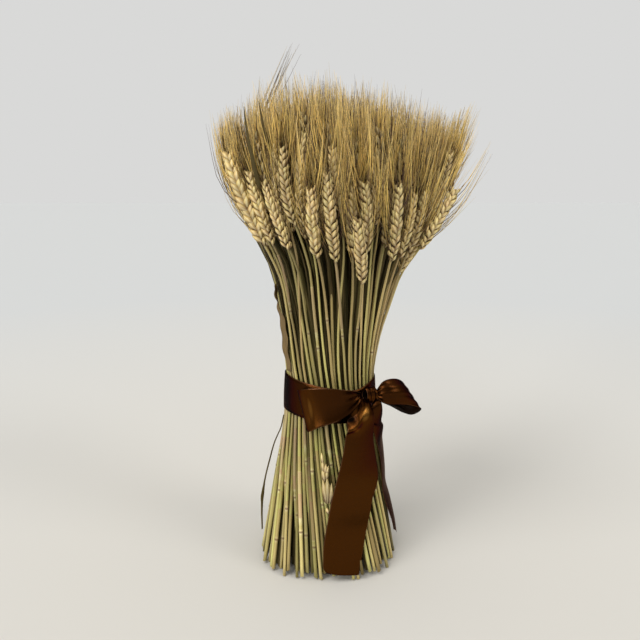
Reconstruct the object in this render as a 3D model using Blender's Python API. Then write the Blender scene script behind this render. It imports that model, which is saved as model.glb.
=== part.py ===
"""A sheaf of dried bearded wheat, standing on its cut ends and tied with a ribbon bow.

Every stalk is one solid from its cut end to the tip of its beard. The stalks follow one
flow: a foot, a narrow waist under the ribbon and wide heads, with a slight twist, so that
no two of them ever cross. The ribbon is a band round the waist, a knot, two loops and two
tails, each a strip of its own. Metres, +Z up, the floor at zero.
"""

import math
import random

import bmesh
import bpy
import numpy as np
from mathutils import Vector

# The sheaf: (height, value) knots that every stalk follows.
SHEAF_RADIUS = (
    (0.0, 0.0668), (0.08, 0.0545), (0.145, 0.0441), (0.17, 0.0434), (0.198, 0.0441), (0.24, 0.0485),
    (0.28, 0.0585), (0.31, 0.0700), (0.34, 0.0850), (0.37, 0.0960), (0.41, 0.1030), (0.50, 0.1120),
)
SHEAF_TWIST = (
    (0.0, 24.0), (0.08, 15.0), (0.17, 0.0), (0.25, -14.0), (0.33, -26.0), (0.41, -33.0), (0.50, -37.0),
)
SHEAF_LEAN = 0.0095
LEAN_FROM = 0.02
LEAN_TO = 0.34
FOOT_DEPTH_SHARE = 0.90
WAIST_LOW = 0.145
WAIST_HIGH = 0.198
HEADS_FROM = 0.325
SHEAF_TOP = 0.50

# The stalks.
STALK_COUNT = 48
STALK_SIDES = 1
STEM_RADII_MM = (
    (0.0, 1.9), (0.36, 1.75), (0.45, 1.7), (0.53, 1.7), (0.61, 1.65), (0.74, 1.45), (0.88, 1.2), (0.97, 1.1),
)
INNER_STEM_RADII_MM = ((0.0, 1.9), (0.06, 1.9), (0.36, 1.75), (0.61, 1.65), (0.85, 1.2))
JOINT_RADII_MM = ((-0.012, 1.85), (0.0, 2.15), (0.012, 1.85))
JOINT_LOWEST = 0.10
JOINT_HIGHEST = 0.30
EAR_RADII_MM = ((0.0, 1.4), (0.10, 3.6), (0.30, 5.4), (0.55, 5.5), (0.80, 4.4), (1.0, 3.0))
BEARD_RADII_MM = ((0.45, 3.6), (0.80, 2.2), (1.0, 0.5))
EAR_LENGTH = 0.066
BEARD_LENGTH = 0.062
STANDING_CUT = 0.0008
CUT_RAGGEDNESS = 0.005

# The stalks that show in front: slot round the waist, height of the ear's foot, share of the
# sheaf's radius at the heads, and how far the head swings aside in degrees.
FRONT_STALKS = (
    (4, 0.320, 1.00, 1), (5, 0.335, 0.76, 2), (6, 0.328, 0.92, 2), (7, 0.316, 0.98, 6),
    (8, 0.335, 0.74, 4), (9, 0.322, 0.88, 4), (10, 0.315, 1.02, 4), (11, 0.334, 0.82, 3),
    (12, 0.322, 0.95, 3), (13, 0.312, 1.02, 4), (14, 0.333, 0.80, 4), (15, 0.308, 1.00, 0),
    (16, 0.321, 0.86, 3), (17, 0.306, 1.00, 0), (18, 0.284, 0.98, 2), (19, 0.322, 0.78, 4),
    (20, 0.299, 1.02, -1), (21, 0.318, 0.84, 3), (22, 0.303, 1.02, 2), (23, 0.325, 0.80, 4),
    (24, 0.312, 1.02, 4), (25, 0.330, 0.82, 5), (26, 0.288, 1.16, 2), (27, 0.322, 0.88, 5),
    (28, 0.314, 1.04, 6),
)
OUTER_HEAD_SHARE = 1.0
INNER_HEAD_SHARE = 0.78
OUTER_EAR_HEIGHT = 0.305
INNER_EAR_HEIGHT = 0.328
EAR_HEIGHT_SPREAD = 0.012
INNER_FOOT_SHARE = 0.86

# The stalks inside, pressed into one another under the tie: ring share of the radius, count.
INNER_RINGS = ((0.0, 1), (0.20, 6), (0.40, 11), (0.58, 13))
INNER_RING_FOOT_SHARE = 1.2
INNER_RING_WAIST_SHARE = 1.25
PRESSED_RADIUS = 0.0411
PRESSED_LOW = 0.160
PRESSED_HIGH = 0.184

# The ribbon.
RIBBON_WIDTH = 0.038
RIBBON_THICKNESS = 0.0008
RIBBON_HALF = 0.5 * RIBBON_WIDTH
BAND_RADIUS = 0.0470
BAND_MIDDLE = 0.171
BAND_TILT = 0.006
BAND_LOW_ANGLE = -40.0
BAND_STEPS = 48
KNOT_ANGLE = -51.5
KNOT_RADIUS = 0.0529
KNOT_HEIGHT = 0.1785
KNOT_SIZE = (0.0085, 0.0050, 0.0065)
KNOT_GAP = 0.0007
LEFT_FOLD_ANGLE = -125.5
LEFT_FOLD_HEIGHT = 0.164
LEFT_FOLD_SLANT = 0.0065
LOOP_STEPS = 7
GATHERED_HALF = 0.0055
RIGHT_FOLD_OUT = (0.0370, 0.0170, -0.0030)
RIGHT_FOLD_HALF = (-0.0105, 0.0080, 0.0132)
RIGHT_LOOP_OPENING = 0.013
TAIL_CLEARANCE = 0.0033

# Loose bits.
LOOSE_EAR_RADII_MM = ((0.0, 1.0), (0.3, 2.8), (0.6, 3.4), (0.85, 2.4), (1.0, 1.2))
LOOSE_EAR_LOW = 0.078
LOOSE_EAR_HIGH = 0.124
LOOSE_EAR_ANGLE = -108.75
LOOSE_EAR_CLEARANCE = 0.0042
LEAF_LOW = 0.222
LEAF_HIGH = 0.276
LEAF_WIDTH = 0.0055
LEAF_THICKNESS = 0.0006
LEAF_ANGLE = -161.25
LEAF_CLEARANCE = 0.0007
LEAF_LIFT = 0.0030
BLADE_LOW = 0.016
BLADE_HIGH = 0.152
BLADE_WIDTH = 0.0012
BLADE_ANGLE = -191.25
BLADE_BOW = 0.0085

STRAW = (0.60, 0.50, 0.25)
DARK_LEAF = (0.16, 0.12, 0.05)
PALE_CHAFF = (0.72, 0.60, 0.34)
CHOCOLATE_SATIN = (0.075, 0.030, 0.010)


def clear_scene():
    """Remove whatever the scene holds."""
    for item in list(bpy.data.objects):
        bpy.data.objects.remove(item, do_unlink=True)


def plain_material(name, colour, roughness):
    """A Principled material of one colour."""
    material = bpy.data.materials.new(name)
    material.use_nodes = True
    shader = material.node_tree.nodes["Principled BSDF"]
    shader.inputs["Base Color"].default_value = (*colour, 1.0)
    shader.inputs["Roughness"].default_value = roughness
    shader.inputs["Metallic"].default_value = 0.0
    return material


def ease(share):
    """A share from 0 to 1 with soft ends."""
    share = min(max(share, 0.0), 1.0)
    return share * share * (3.0 - 2.0 * share)


def mix(start, end, share):
    """The value a share of the way from start to end."""
    return start + (end - start) * share


def value_at(knots, height):
    """The value at a height on a smooth line through (height, value) knots."""
    heights = np.array([knot[0] for knot in knots])
    values = np.array([knot[1] for knot in knots])
    slopes = np.gradient(values, heights)
    below = int(np.clip(np.searchsorted(heights, height) - 1, 0, len(heights) - 2))
    span = heights[below + 1] - heights[below]
    share = (height - heights[below]) / span
    rise = share * share * (3.0 - 2.0 * share)
    leaving = share * (1.0 - share) ** 2 * span * slopes[below]
    arriving = share * share * (share - 1.0) * span * slopes[below + 1]
    return float(mix(values[below], values[below + 1], rise) + leaving + arriving)


def axis_at(height):
    """Where the sheaf's axis is at a height."""
    lean = SHEAF_LEAN * ease((height - LEAN_FROM) / (LEAN_TO - LEAN_FROM))
    return Vector((lean, 0.0, height))


def around(angle, radius, height):
    """A point at an angle and a radius round the sheaf's axis."""
    turn = math.radians(angle)
    depth_share = mix(FOOT_DEPTH_SHARE, 1.0, min(height / WAIST_LOW, 1.0))
    return axis_at(height) + Vector((radius * math.cos(turn), radius * depth_share * math.sin(turn), 0.0))


def stalk_point(stalk, height):
    """A point on a stalk's middle line."""
    if height < WAIST_LOW:
        share = mix(stalk["waist"], stalk["foot"], ease((WAIST_LOW - height) / WAIST_LOW))
    else:
        share = mix(stalk["waist"], stalk["head"], ease((height - WAIST_HIGH) / (HEADS_FROM - WAIST_HIGH)))
    swing = stalk["swing"] * ease((height - WAIST_HIGH) / (HEADS_FROM - WAIST_HIGH))
    angle = stalk["angle"] + swing + value_at(SHEAF_TWIST, height)
    return around(angle, share * value_at(SHEAF_RADIUS, height), height)


def stalk_stations(stalk):
    """Points along a stalk from its cut end to its beard's tip, with the radius at each."""
    heights = np.linspace(stalk["cut"], SHEAF_TOP, 160)
    line = np.array([stalk_point(stalk, height) for height in heights])
    steps = np.linalg.norm(np.diff(line, axis=0), axis=1)
    lengths = np.concatenate(([0.0], np.cumsum(steps)))
    neck = float(np.interp(stalk["ear"], heights, lengths))
    tip = neck + stalk["ear_length"]
    stem = [*stalk["stem"], *((stalk["joint"] + share, radius) for share, radius in JOINT_RADII_MM)]
    stations = [(neck * share, radius) for share, radius in sorted(stem)]
    stations += [(neck + stalk["ear_length"] * share, radius) for share, radius in EAR_RADII_MM]
    stations += [(tip + BEARD_LENGTH * share, radius) for share, radius in BEARD_RADII_MM]
    return [
        ([float(np.interp(length, lengths, line[:, axis])) for axis in range(3)], radius)
        for length, radius in stations
    ]


def tapered_rod(name, stations, material, sides=STALK_SIDES):
    """A round rod through (point, radius in millimetres) stations, closed at both ends."""
    curve = bpy.data.curves.new(name, "CURVE")
    curve.dimensions = "3D"
    curve.bevel_depth = 0.001
    curve.bevel_resolution = sides
    curve.use_fill_caps = True
    spline = curve.splines.new("POLY")
    spline.points.add(len(stations) - 1)
    for point, (place, radius) in zip(spline.points, stations):
        point.co = (*place, 1.0)
        point.radius = radius
    spline.use_smooth = True
    rod = bpy.data.objects.new(name, curve)
    bpy.context.scene.collection.objects.link(rod)
    curve.materials.append(material)
    return rod


def link_mesh(name, vertices, faces, material):
    """An object made from vertices and faces."""
    mesh = bpy.data.meshes.new(name)
    mesh.from_pydata([tuple(vertex) for vertex in vertices], [], faces)
    mesh.update()
    mesh.materials.append(material)
    item = bpy.data.objects.new(name, mesh)
    bpy.context.scene.collection.objects.link(item)
    return item


def ribbon_strip(name, stations, material, thickness=RIBBON_THICKNESS, closed=False):
    """A strip through (middle, half width as a vector) stations, thickened both ways."""
    vertices = [middle + side * half for middle, half in stations for side in (-1.0, 1.0)]
    count = len(stations)
    faces = []
    for step in range(count if closed else count - 1):
        here, there = 2 * step, 2 * ((step + 1) % count)
        faces.append((here, there, there + 1, here + 1))
    strip = link_mesh(name, vertices, faces, material)
    strip.data.shade_smooth()
    solid = strip.modifiers.new("thickness", "SOLIDIFY")
    solid.thickness = thickness
    solid.offset = 0.0
    return strip


def outer_stalks():
    """The stalks round the outside, in one ring at the waist."""
    chance = random.Random(7)
    front = {row[0]: row[1:] for row in FRONT_STALKS}
    stalks = []
    for slot in range(STALK_COUNT):
        inner = slot % 2 == 1
        ear = INNER_EAR_HEIGHT if inner else OUTER_EAR_HEIGHT
        ear += chance.uniform(-EAR_HEIGHT_SPREAD, EAR_HEIGHT_SPREAD)
        head = (INNER_HEAD_SHARE if inner else OUTER_HEAD_SHARE) + chance.uniform(-0.02, 0.02)
        swing = 3.0 * (1.0 - slot / STALK_COUNT)
        if slot in front:
            ear, head, swing = front[slot]
        stalks.append({
            "angle": -180.0 + slot * 360.0 / STALK_COUNT,
            "foot": INNER_FOOT_SHARE if inner else 1.0,
            "waist": 1.0,
            "head": head,
            "ear": ear,
            "swing": swing,
            "ear_length": EAR_LENGTH * chance.uniform(0.92, 1.08),
            "cut": STANDING_CUT if slot % 4 == 0 else chance.uniform(STANDING_CUT, CUT_RAGGEDNESS),
            "stem": STEM_RADII_MM,
            "joint": chance.uniform(JOINT_LOWEST, JOINT_HIGHEST),
        })
    return stalks


def inner_stalks():
    """The stalks inside the outer ring."""
    chance = random.Random(11)
    stalks = []
    for share, count in INNER_RINGS:
        for place in range(count):
            stalks.append({
                "angle": 360.0 * (place + 0.5 * (count % 2)) / count,
                "foot": share * INNER_RING_FOOT_SHARE,
                "waist": share * INNER_RING_WAIST_SHARE,
                "head": share,
                "ear": INNER_EAR_HEIGHT + chance.uniform(-0.006, 0.012),
                "swing": 0.0,
                "ear_length": EAR_LENGTH * chance.uniform(0.92, 1.08),
                "cut": 0.0 if share == 0.0 else chance.uniform(STANDING_CUT, CUT_RAGGEDNESS),
                "stem": INNER_STEM_RADII_MM,
                "joint": chance.uniform(JOINT_LOWEST, JOINT_HIGHEST),
            })
    return stalks


def make_outer_stalks():
    """One object for each stalk of the outer ring."""
    for number, stalk in enumerate(outer_stalks(), start=1):
        name = f"stalk_{number:02d}"
        tapered_rod(name, stalk_stations(stalk), plain_material(name, STRAW, 0.7))


def make_inner_stalks():
    """The inside stalks, joined where the tie presses their stems together."""
    material = plain_material("inner_stalks", STRAW, 0.75)
    tangle = bmesh.new()
    for number, stalk in enumerate(inner_stalks()):
        rod = tapered_rod(f"inner_{number}", stalk_stations(stalk), material, sides=0)
        shape = rod.to_mesh()
        tangle.from_mesh(shape)
        rod.to_mesh_clear()
        bpy.data.objects.remove(rod, do_unlink=True)
    stems = bpy.data.meshes.new("inner_stems")
    tangle.to_mesh(stems)
    tangle.free()
    helper = bpy.data.objects.new("inner_stems", stems)
    bpy.context.scene.collection.objects.link(helper)
    helper.hide_render = True
    helper.display_type = "WIRE"

    waist = bmesh.new()
    bmesh.ops.create_cone(
        waist, cap_ends=True, segments=BAND_STEPS,
        radius1=PRESSED_RADIUS, radius2=PRESSED_RADIUS, depth=PRESSED_HIGH - PRESSED_LOW,
    )
    mesh = bpy.data.meshes.new("inner_stalks")
    waist.to_mesh(mesh)
    waist.free()
    mesh.materials.append(material)
    pressed = bpy.data.objects.new("inner_stalks", mesh)
    bpy.context.scene.collection.objects.link(pressed)
    pressed.location = axis_at(0.5 * (PRESSED_LOW + PRESSED_HIGH))
    union = pressed.modifiers.new("stems", "BOOLEAN")
    union.operation = "UNION"
    union.solver = "EXACT"
    union.object = helper


def band_middle(angle):
    """The height of the band's middle, which dips towards the knot."""
    return BAND_MIDDLE - BAND_TILT * math.cos(math.radians(angle - BAND_LOW_ANGLE))


def tangent(angle):
    """The level direction round the sheaf at an angle."""
    turn = math.radians(angle)
    return Vector((-math.sin(turn), math.cos(turn), 0.0))


def outward(angle):
    """The level direction away from the sheaf's axis at an angle."""
    turn = math.radians(angle)
    return Vector((math.cos(turn), math.sin(turn), 0.0))


def beside_knot(sideways, outwards, upwards):
    """A point placed from the knot's middle, in metres."""
    middle = around(KNOT_ANGLE, KNOT_RADIUS, KNOT_HEIGHT)
    level = tangent(KNOT_ANGLE) * sideways + outward(KNOT_ANGLE) * outwards
    return middle + level + Vector((0.0, 0.0, upwards))


def make_band(satin):
    """The ribbon round the waist."""
    half = Vector((0.0, 0.0, RIBBON_HALF))
    stations = []
    for step in range(BAND_STEPS):
        angle = 360.0 * step / BAND_STEPS
        stations.append((around(angle, BAND_RADIUS, band_middle(angle)), half))
    ribbon_strip("ribbon_band", stations, satin, closed=True)


def make_knot(satin):
    """The knot, a small lump across the band's upper edge."""
    lump = bmesh.new()
    bmesh.ops.create_uvsphere(lump, u_segments=16, v_segments=8, radius=1.0)
    for vertex in lump.verts:
        vertex.co = Vector([size * part for size, part in zip(KNOT_SIZE, vertex.co)])
    mesh = bpy.data.meshes.new("bow_knot")
    lump.to_mesh(mesh)
    lump.free()
    mesh.shade_smooth()
    mesh.materials.append(satin)
    knot = bpy.data.objects.new("bow_knot", mesh)
    bpy.context.scene.collection.objects.link(knot)
    knot.location = beside_knot(0.0, 0.0, 0.0)
    knot.rotation_euler = (0.0, 0.0, math.radians(KNOT_ANGLE + 90.0))


def left_loop_station(out, clearance):
    """The left loop's middle and half width, a share of the way out from knot to fold."""
    start = KNOT_ANGLE - math.degrees((KNOT_SIZE[0] + KNOT_GAP) / KNOT_RADIUS)
    angle = mix(start, LEFT_FOLD_ANGLE, out)
    spread = ease(out / 0.6)
    middle = around(angle, BAND_RADIUS + clearance, mix(KNOT_HEIGHT, LEFT_FOLD_HEIGHT, out ** 0.7))
    half = Vector((0.0, 0.0, mix(GATHERED_HALF, 0.95 * RIBBON_HALF, spread)))
    return middle, half - tangent(angle) * mix(0.0, LEFT_FOLD_SLANT, spread)


def make_left_loop(satin):
    """The loop that lies flat over the band: out to its fold and back underneath."""
    upper, under = [], []
    for step in range(LOOP_STEPS):
        out = step / (LOOP_STEPS - 1)
        puff = 0.0015 * math.sin(math.pi * out)
        upper.append(left_loop_station(out, mix(0.0073, 0.0032, ease(out)) + puff))
        under.append(left_loop_station(out, mix(0.0047, 0.0014, ease(out / 0.35))))
    fold = left_loop_station(1.015, 0.0023)
    ribbon_strip("bow_loop_left", [*upper, fold, *reversed(under)], satin)


def make_right_loop(satin):
    """The loop that stands out to the right: out, round its open end and back."""
    root = beside_knot(KNOT_SIZE[0] + KNOT_GAP, 0.0, 0.0)
    reach = Vector(RIGHT_FOLD_OUT)
    apart = Vector((-0.30, -0.60, 0.74)) * 0.5 * RIGHT_LOOP_OPENING
    root_half = Vector((0.0, 0.0, GATHERED_HALF))
    steps = 2 * LOOP_STEPS
    stations = []
    for step in range(steps + 1):
        turn = math.radians(mix(12.0, 348.0, step / steps))
        out = 0.5 * (1.0 - math.cos(turn))
        middle = root + reach * out + apart * math.sin(turn)
        stations.append((middle, root_half.lerp(Vector(RIGHT_FOLD_HALF), ease(out / 0.8))))
    ribbon_strip("bow_loop_right", stations, satin)


def sheaf_surface(angle, height, clearance):
    """A point outside the outermost stems' middle lines."""
    return around(angle, value_at(SHEAF_RADIUS, height) + clearance, height)


def hanging_stations(places):
    """Strip stations down the sheaf's side from (angle, height, clearance, half width) places."""
    return [
        (sheaf_surface(angle, height, clearance), tangent(angle) * half)
        for angle, height, clearance, half in places
    ]


def make_front_tail(satin):
    """The tail that hangs down the front, nearly to the floor."""
    top = (beside_knot(-0.0040, 0.0020, -KNOT_SIZE[2] - KNOT_GAP), tangent(KNOT_ANGLE) * 0.0045)
    places = [
        (-57.5, 0.164, 0.0105, 0.005), (-60.0, 0.155, 0.0110, 0.007), (-62.5, 0.147, 0.0100, 0.012),
        (-64.5, 0.139, 0.0070, 0.017), (-66.0, 0.126, TAIL_CLEARANCE + 0.0010, RIBBON_HALF),
        (-67.0, 0.108, TAIL_CLEARANCE, RIBBON_HALF), (-68.5, 0.089, TAIL_CLEARANCE, RIBBON_HALF),
        (-73.0, 0.070, TAIL_CLEARANCE, RIBBON_HALF), (-77.5, 0.051, TAIL_CLEARANCE, RIBBON_HALF),
        (-80.5, 0.031, TAIL_CLEARANCE, RIBBON_HALF), (-83.0, 0.009, TAIL_CLEARANCE, RIBBON_HALF),
    ]
    ribbon_strip("ribbon_tail_front", [top, *hanging_stations(places)], satin)


def make_back_tail(satin):
    """The tail that curls out beside the knot and hangs down the right side."""
    top = (beside_knot(0.0072, 0.0, -0.0052), outward(KNOT_ANGLE) * 0.0035)
    curl = (sheaf_surface(-36.0, 0.164, 0.0120), (outward(-36.0) + tangent(-36.0) * 0.6) * 0.0035)
    places = [
        (-29.0, 0.155, 0.0130, 0.006), (-22.0, 0.144, 0.0100, 0.011), (-16.0, 0.131, 0.0055, 0.016),
        (-12.0, 0.114, TAIL_CLEARANCE, RIBBON_HALF), (-10.0, 0.090, TAIL_CLEARANCE, RIBBON_HALF),
        (-8.5, 0.066, TAIL_CLEARANCE, RIBBON_HALF), (-7.0, 0.042, TAIL_CLEARANCE, RIBBON_HALF),
        (-6.0, 0.018, TAIL_CLEARANCE, RIBBON_HALF),
    ]
    ribbon_strip("ribbon_tail_back", [top, curl, *hanging_stations(places)], satin)


def make_loose_ear():
    """A small broken ear caught against the front stems under the ribbon."""
    stations = []
    for share, radius in LOOSE_EAR_RADII_MM:
        height = mix(LOOSE_EAR_LOW, LOOSE_EAR_HIGH, share)
        angle = LOOSE_EAR_ANGLE + value_at(SHEAF_TWIST, height)
        stations.append((sheaf_surface(angle, height, LOOSE_EAR_CLEARANCE), radius))
    tapered_rod("loose_ear", stations, plain_material("loose_ear", PALE_CHAFF, 0.7))


def make_dry_leaf():
    """A withered leaf clinging to the left side above the ribbon."""
    stations = []
    for step in range(6):
        share = step / 5.0
        height = mix(LEAF_LOW, LEAF_HIGH, share)
        angle = LEAF_ANGLE + value_at(SHEAF_TWIST, height)
        half = (outward(angle) - tangent(angle)).normalized() * 0.5 * LEAF_WIDTH * mix(0.4, 1.0, share)
        stations.append((sheaf_surface(angle, height, LEAF_CLEARANCE + LEAF_LIFT * share), half))
    ribbon_strip("dry_leaf", stations, plain_material("dry_leaf", DARK_LEAF, 0.8), thickness=LEAF_THICKNESS)


def make_dry_blade():
    """A thin dark blade that bows out from under the ribbon to the foot on the left."""
    stations = []
    for step in range(10):
        share = step / 9.0
        height = mix(BLADE_LOW, BLADE_HIGH, share)
        bow = BLADE_BOW * math.sin(math.pi * share)
        angle = BLADE_ANGLE + value_at(SHEAF_TWIST, height)
        stations.append((sheaf_surface(angle, height, bow), tangent(angle) * 0.5 * BLADE_WIDTH))
    ribbon_strip("dry_blade", stations, plain_material("dry_blade", DARK_LEAF, 0.8), thickness=LEAF_THICKNESS)


def build():
    """Make the whole sheaf."""
    clear_scene()
    make_outer_stalks()
    make_inner_stalks()
    satin = plain_material("chocolate_satin", CHOCOLATE_SATIN, 0.35)
    make_band(satin)
    make_knot(satin)
    make_left_loop(satin)
    make_right_loop(satin)
    make_front_tail(satin)
    make_back_tail(satin)
    make_loose_ear()
    make_dry_leaf()
    make_dry_blade()


build()
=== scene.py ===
"""The looks of a sheaf of dried bearded wheat, tied with a chocolate satin ribbon.

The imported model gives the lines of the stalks. Each outer stalk becomes a hollow straw with joints,
an ear of husks in two rows and its awns; packed stalks fill the sheaf behind them. The ribbon is
one strip of cloth for each run of it: the band, the knot, two loops and two tails. Metres, +Z up.
"""

import math

import bpy
import numpy as np
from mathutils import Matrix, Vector


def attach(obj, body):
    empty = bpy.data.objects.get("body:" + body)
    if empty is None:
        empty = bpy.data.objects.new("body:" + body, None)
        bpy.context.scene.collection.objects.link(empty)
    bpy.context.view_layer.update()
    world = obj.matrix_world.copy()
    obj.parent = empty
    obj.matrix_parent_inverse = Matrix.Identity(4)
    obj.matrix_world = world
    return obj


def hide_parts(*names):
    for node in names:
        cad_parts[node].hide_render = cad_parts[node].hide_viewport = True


bl_info = {
    "name": "Dried Wheat Sheaf",
    "version": (1, 0, 0),
    "blender": (4, 5, 0),
    "location": "View3D > Sidebar > Wheat",
    "description": "Builds the finished pieces of a tied sheaf of dried bearded wheat",
    "category": "Object",
}

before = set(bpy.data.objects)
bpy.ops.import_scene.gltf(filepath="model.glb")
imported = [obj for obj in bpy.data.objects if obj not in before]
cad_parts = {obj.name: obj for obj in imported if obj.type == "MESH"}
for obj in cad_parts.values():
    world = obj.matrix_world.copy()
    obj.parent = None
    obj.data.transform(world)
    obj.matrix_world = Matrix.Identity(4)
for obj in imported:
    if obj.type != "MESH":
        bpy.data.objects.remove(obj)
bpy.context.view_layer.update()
STALK_NODES = [f"stalk_{number:02d}" for number in range(1, 49)]

# The heights at which the frame's stalks are read, and how high all of them reach.
STEP = 0.004
HEIGHTS = np.arange(0.004, 0.46, STEP)
FLOW_TOP = 0.425
# How near to the middle stalk's last place its next one is looked for.
MIDDLE_REACH = 0.007
# The heights of the waist, where the stalks start to spread, and where their heads start.
WAIST, SPREAD_FROM, HEADS_FROM = 0.171, 0.198, 0.325
# An ear starts where a stalk is at least this wide above this height, and a little lower; it
# takes up this share of the line from there to the beard's tip.
EAR_LOWEST, EAR_MIN_WIDTH, EAR_START = 0.22, 0.005, 0.003
EAR_SHARE = 0.56

# How the ribbon gathers the sheaf and how it sways: height, move to the side, share of its width.
SETTLED = (
    (0.000, 0.0, 1.0), (0.020, -0.0008, 1.012), (0.050, -0.0010, 1.045), (0.070, -0.0025, 1.045),
    (0.090, -0.0034, 1.045), (0.110, -0.0038, 1.040), (0.130, -0.0034, 1.020), (0.150, -0.0026, 0.990),
    (0.165, -0.0022, 0.965), (0.180, -0.0030, 0.945), (0.190, -0.0035, 0.950), (0.205, -0.0041, 0.975),
    (0.230, -0.0038, 0.998), (0.255, -0.0028, 1.006), (0.275, -0.0014, 0.990), (0.300, 0.0, 0.964),
    (0.320, 0.0, 0.966), (0.345, 0.0, 0.990), (0.365, 0.0, 1.000),
)

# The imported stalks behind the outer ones: share of the sheaf's radius at the waist, at the foot
# and at the heads, how many, the height of their ears' feet, and 1 where they carry full detail.
PACKED_RINGS = (
    (0.93, 1.00, 0.96, 48, 0.336, 1), (0.84, 0.92, 0.79, 44, 0.343, 0), (0.75, 0.83, 0.66, 39, 0.347, 0),
    (0.66, 0.68, 0.49, 34, 0.350, 0), (0.57, 0.59, 0.40, 28, 0.350, 0), (0.48, 0.50, 0.31, 23, 0.352, 0),
    (0.39, 0.41, 0.22, 18, 0.350, 0), (0.30, 0.32, 0.16, 13, 0.352, 0), (0.21, 0.23, 0.11, 9, 0.350, 0),
    (0.12, 0.13, 0.06, 5, 0.350, 0), (0.0, 0.0, 0.0, 1, 0.352, 0), (0.80, 0.90, 0.97, 26, 0.354, 0),
)
PACKED_GROUPS = 12
# The first packed stalk stands half a stalk's turn from the first outer one.
HALF_STALK = math.radians(3.75)
# How far the outermost packed heads are held back in front, and spread at the sides.
HELD_BACK, SIDE_SPREAD = 0.17, 0.075


class StalkSizes(bpy.types.PropertyGroup):
    """Sizes of one stalk of wheat."""

    foot_radius: bpy.props.FloatProperty(
        name="Foot radius", description="Radius of a straw at its cut end", default=0.00172, unit="LENGTH")
    neck_radius: bpy.props.FloatProperty(
        name="Neck radius", description="Radius of a straw under its ear", default=0.0011, unit="LENGTH")
    spikelet_pitch: bpy.props.FloatProperty(
        name="Spikelet pitch", description="Height between one spikelet and the next", default=0.00285,
        unit="LENGTH")
    husk_length: bpy.props.FloatProperty(
        name="Husk length", description="Length of a husk", default=0.0101, unit="LENGTH")
    husk_width: bpy.props.FloatProperty(
        name="Husk width", description="Width of a husk", default=0.0047, unit="LENGTH")
    husk_thickness: bpy.props.FloatProperty(
        name="Husk thickness", description="Thickness of a husk", default=0.0026, unit="LENGTH")
    husk_tilt: bpy.props.FloatProperty(
        name="Husk tilt", description="How far the lower husks stand out", default=math.radians(26.0),
        subtype="ANGLE")
    awn_length: bpy.props.FloatProperty(
        name="Awn length", description="Length of the awns at an ear's tip", default=0.056, unit="LENGTH")
    awn_extra: bpy.props.FloatProperty(
        name="Extra awn length", description="How much longer the awns at an ear's foot are", default=0.022,
        unit="LENGTH")
    awn_radius: bpy.props.FloatProperty(
        name="Awn radius", description="Radius of an awn at its root", default=0.00037, unit="LENGTH")


class RibbonSizes(bpy.types.PropertyGroup):
    """Sizes of the ribbon."""

    width: bpy.props.FloatProperty(
        name="Width", description="Width of the ribbon", default=0.038, unit="LENGTH")
    thickness: bpy.props.FloatProperty(
        name="Thickness", description="Thickness of the satin", default=0.00035, unit="LENGTH")


class SheafColours(bpy.types.PropertyGroup):
    """Colours of straw, husks, awns, ribbon and leaves."""

    # The lower straw is darker than the straw foot as painted shade under the ribbon.
    straw_low: bpy.props.FloatVectorProperty(
        name="Lower straw", description="Straw near the floor", default=(0.40, 0.347, 0.120), size=3,
        subtype="COLOR")
    straw_foot: bpy.props.FloatVectorProperty(
        name="Straw foot", description="Straw at its cut end", default=(0.55, 0.468, 0.195), size=3,
        subtype="COLOR")
    straw_high: bpy.props.FloatVectorProperty(
        name="Upper straw", description="Straw under the ears", default=(0.53, 0.422, 0.176), size=3,
        subtype="COLOR")
    joint: bpy.props.FloatVectorProperty(
        name="Joint", description="The dark ring at a joint", default=(0.11, 0.075, 0.03), size=3,
        subtype="COLOR")
    husk: bpy.props.FloatVectorProperty(
        name="Husk", description="The body of a husk", default=(0.62, 0.455, 0.175), size=3, subtype="COLOR")
    # The husk root colour is painted shade and the keel colour a painted highlight.
    husk_root: bpy.props.FloatVectorProperty(
        name="Husk root", description="The shaded root of a husk", default=(0.21, 0.120, 0.052), size=3,
        subtype="COLOR")
    husk_keel: bpy.props.FloatVectorProperty(
        name="Husk keel", description="The pale ridge of a husk", default=(0.91, 0.77, 0.43), size=3,
        subtype="COLOR")
    awn: bpy.props.FloatVectorProperty(
        name="Awn", description="The middle of an awn", default=(0.80, 0.555, 0.135), size=3, subtype="COLOR")
    # The dark awn colour is partly the awns' own and partly painted shade deep in the beard.
    awn_dark: bpy.props.FloatVectorProperty(
        name="Dark awn", description="An awn's root, and the darkest awns", default=(0.060, 0.026, 0.023),
        size=3, subtype="COLOR")
    awn_tip: bpy.props.FloatVectorProperty(
        name="Awn tip", description="An awn at its tip", default=(0.60, 0.44, 0.185), size=3, subtype="COLOR")
    satin: bpy.props.FloatVectorProperty(
        name="Satin", description="The ribbon", default=(0.0520, 0.0148, 0.0013), size=3, subtype="COLOR")
    satin_edge: bpy.props.FloatVectorProperty(
        name="Satin edge", description="The woven edge of the ribbon", default=(0.13, 0.060, 0.030), size=3,
        subtype="COLOR")
    leaf: bpy.props.FloatVectorProperty(
        name="Dry leaf", description="A withered leaf", default=(0.10, 0.068, 0.022), size=3, subtype="COLOR")
    floor: bpy.props.FloatVectorProperty(
        name="Floor", description="The pale floor", default=(0.655, 0.627, 0.570), size=3, subtype="COLOR")


# ---------------------------------------------------------------- numbers


def ease(share):
    """A share from 0 to 1 with soft ends."""
    share = np.clip(share, 0.0, 1.0)
    return share * share * (3.0 - 2.0 * share)


def unit(vectors):
    """Vectors made one long."""
    return vectors / np.maximum(np.linalg.norm(vectors, axis=-1, keepdims=True), 1e-12)


def smooth_line(points, reach=3):
    """A line with its corners rounded, ends kept."""
    padded = np.vstack([[points[0]] * reach, points, [points[-1]] * reach])
    weights = np.hanning(2 * reach + 3)[1:-1]
    weights /= weights.sum()
    soft = np.stack([np.convolve(padded[:, axis], weights, "valid") for axis in range(3)], 1)
    soft[0], soft[-1] = points[0], points[-1]
    return soft


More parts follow.
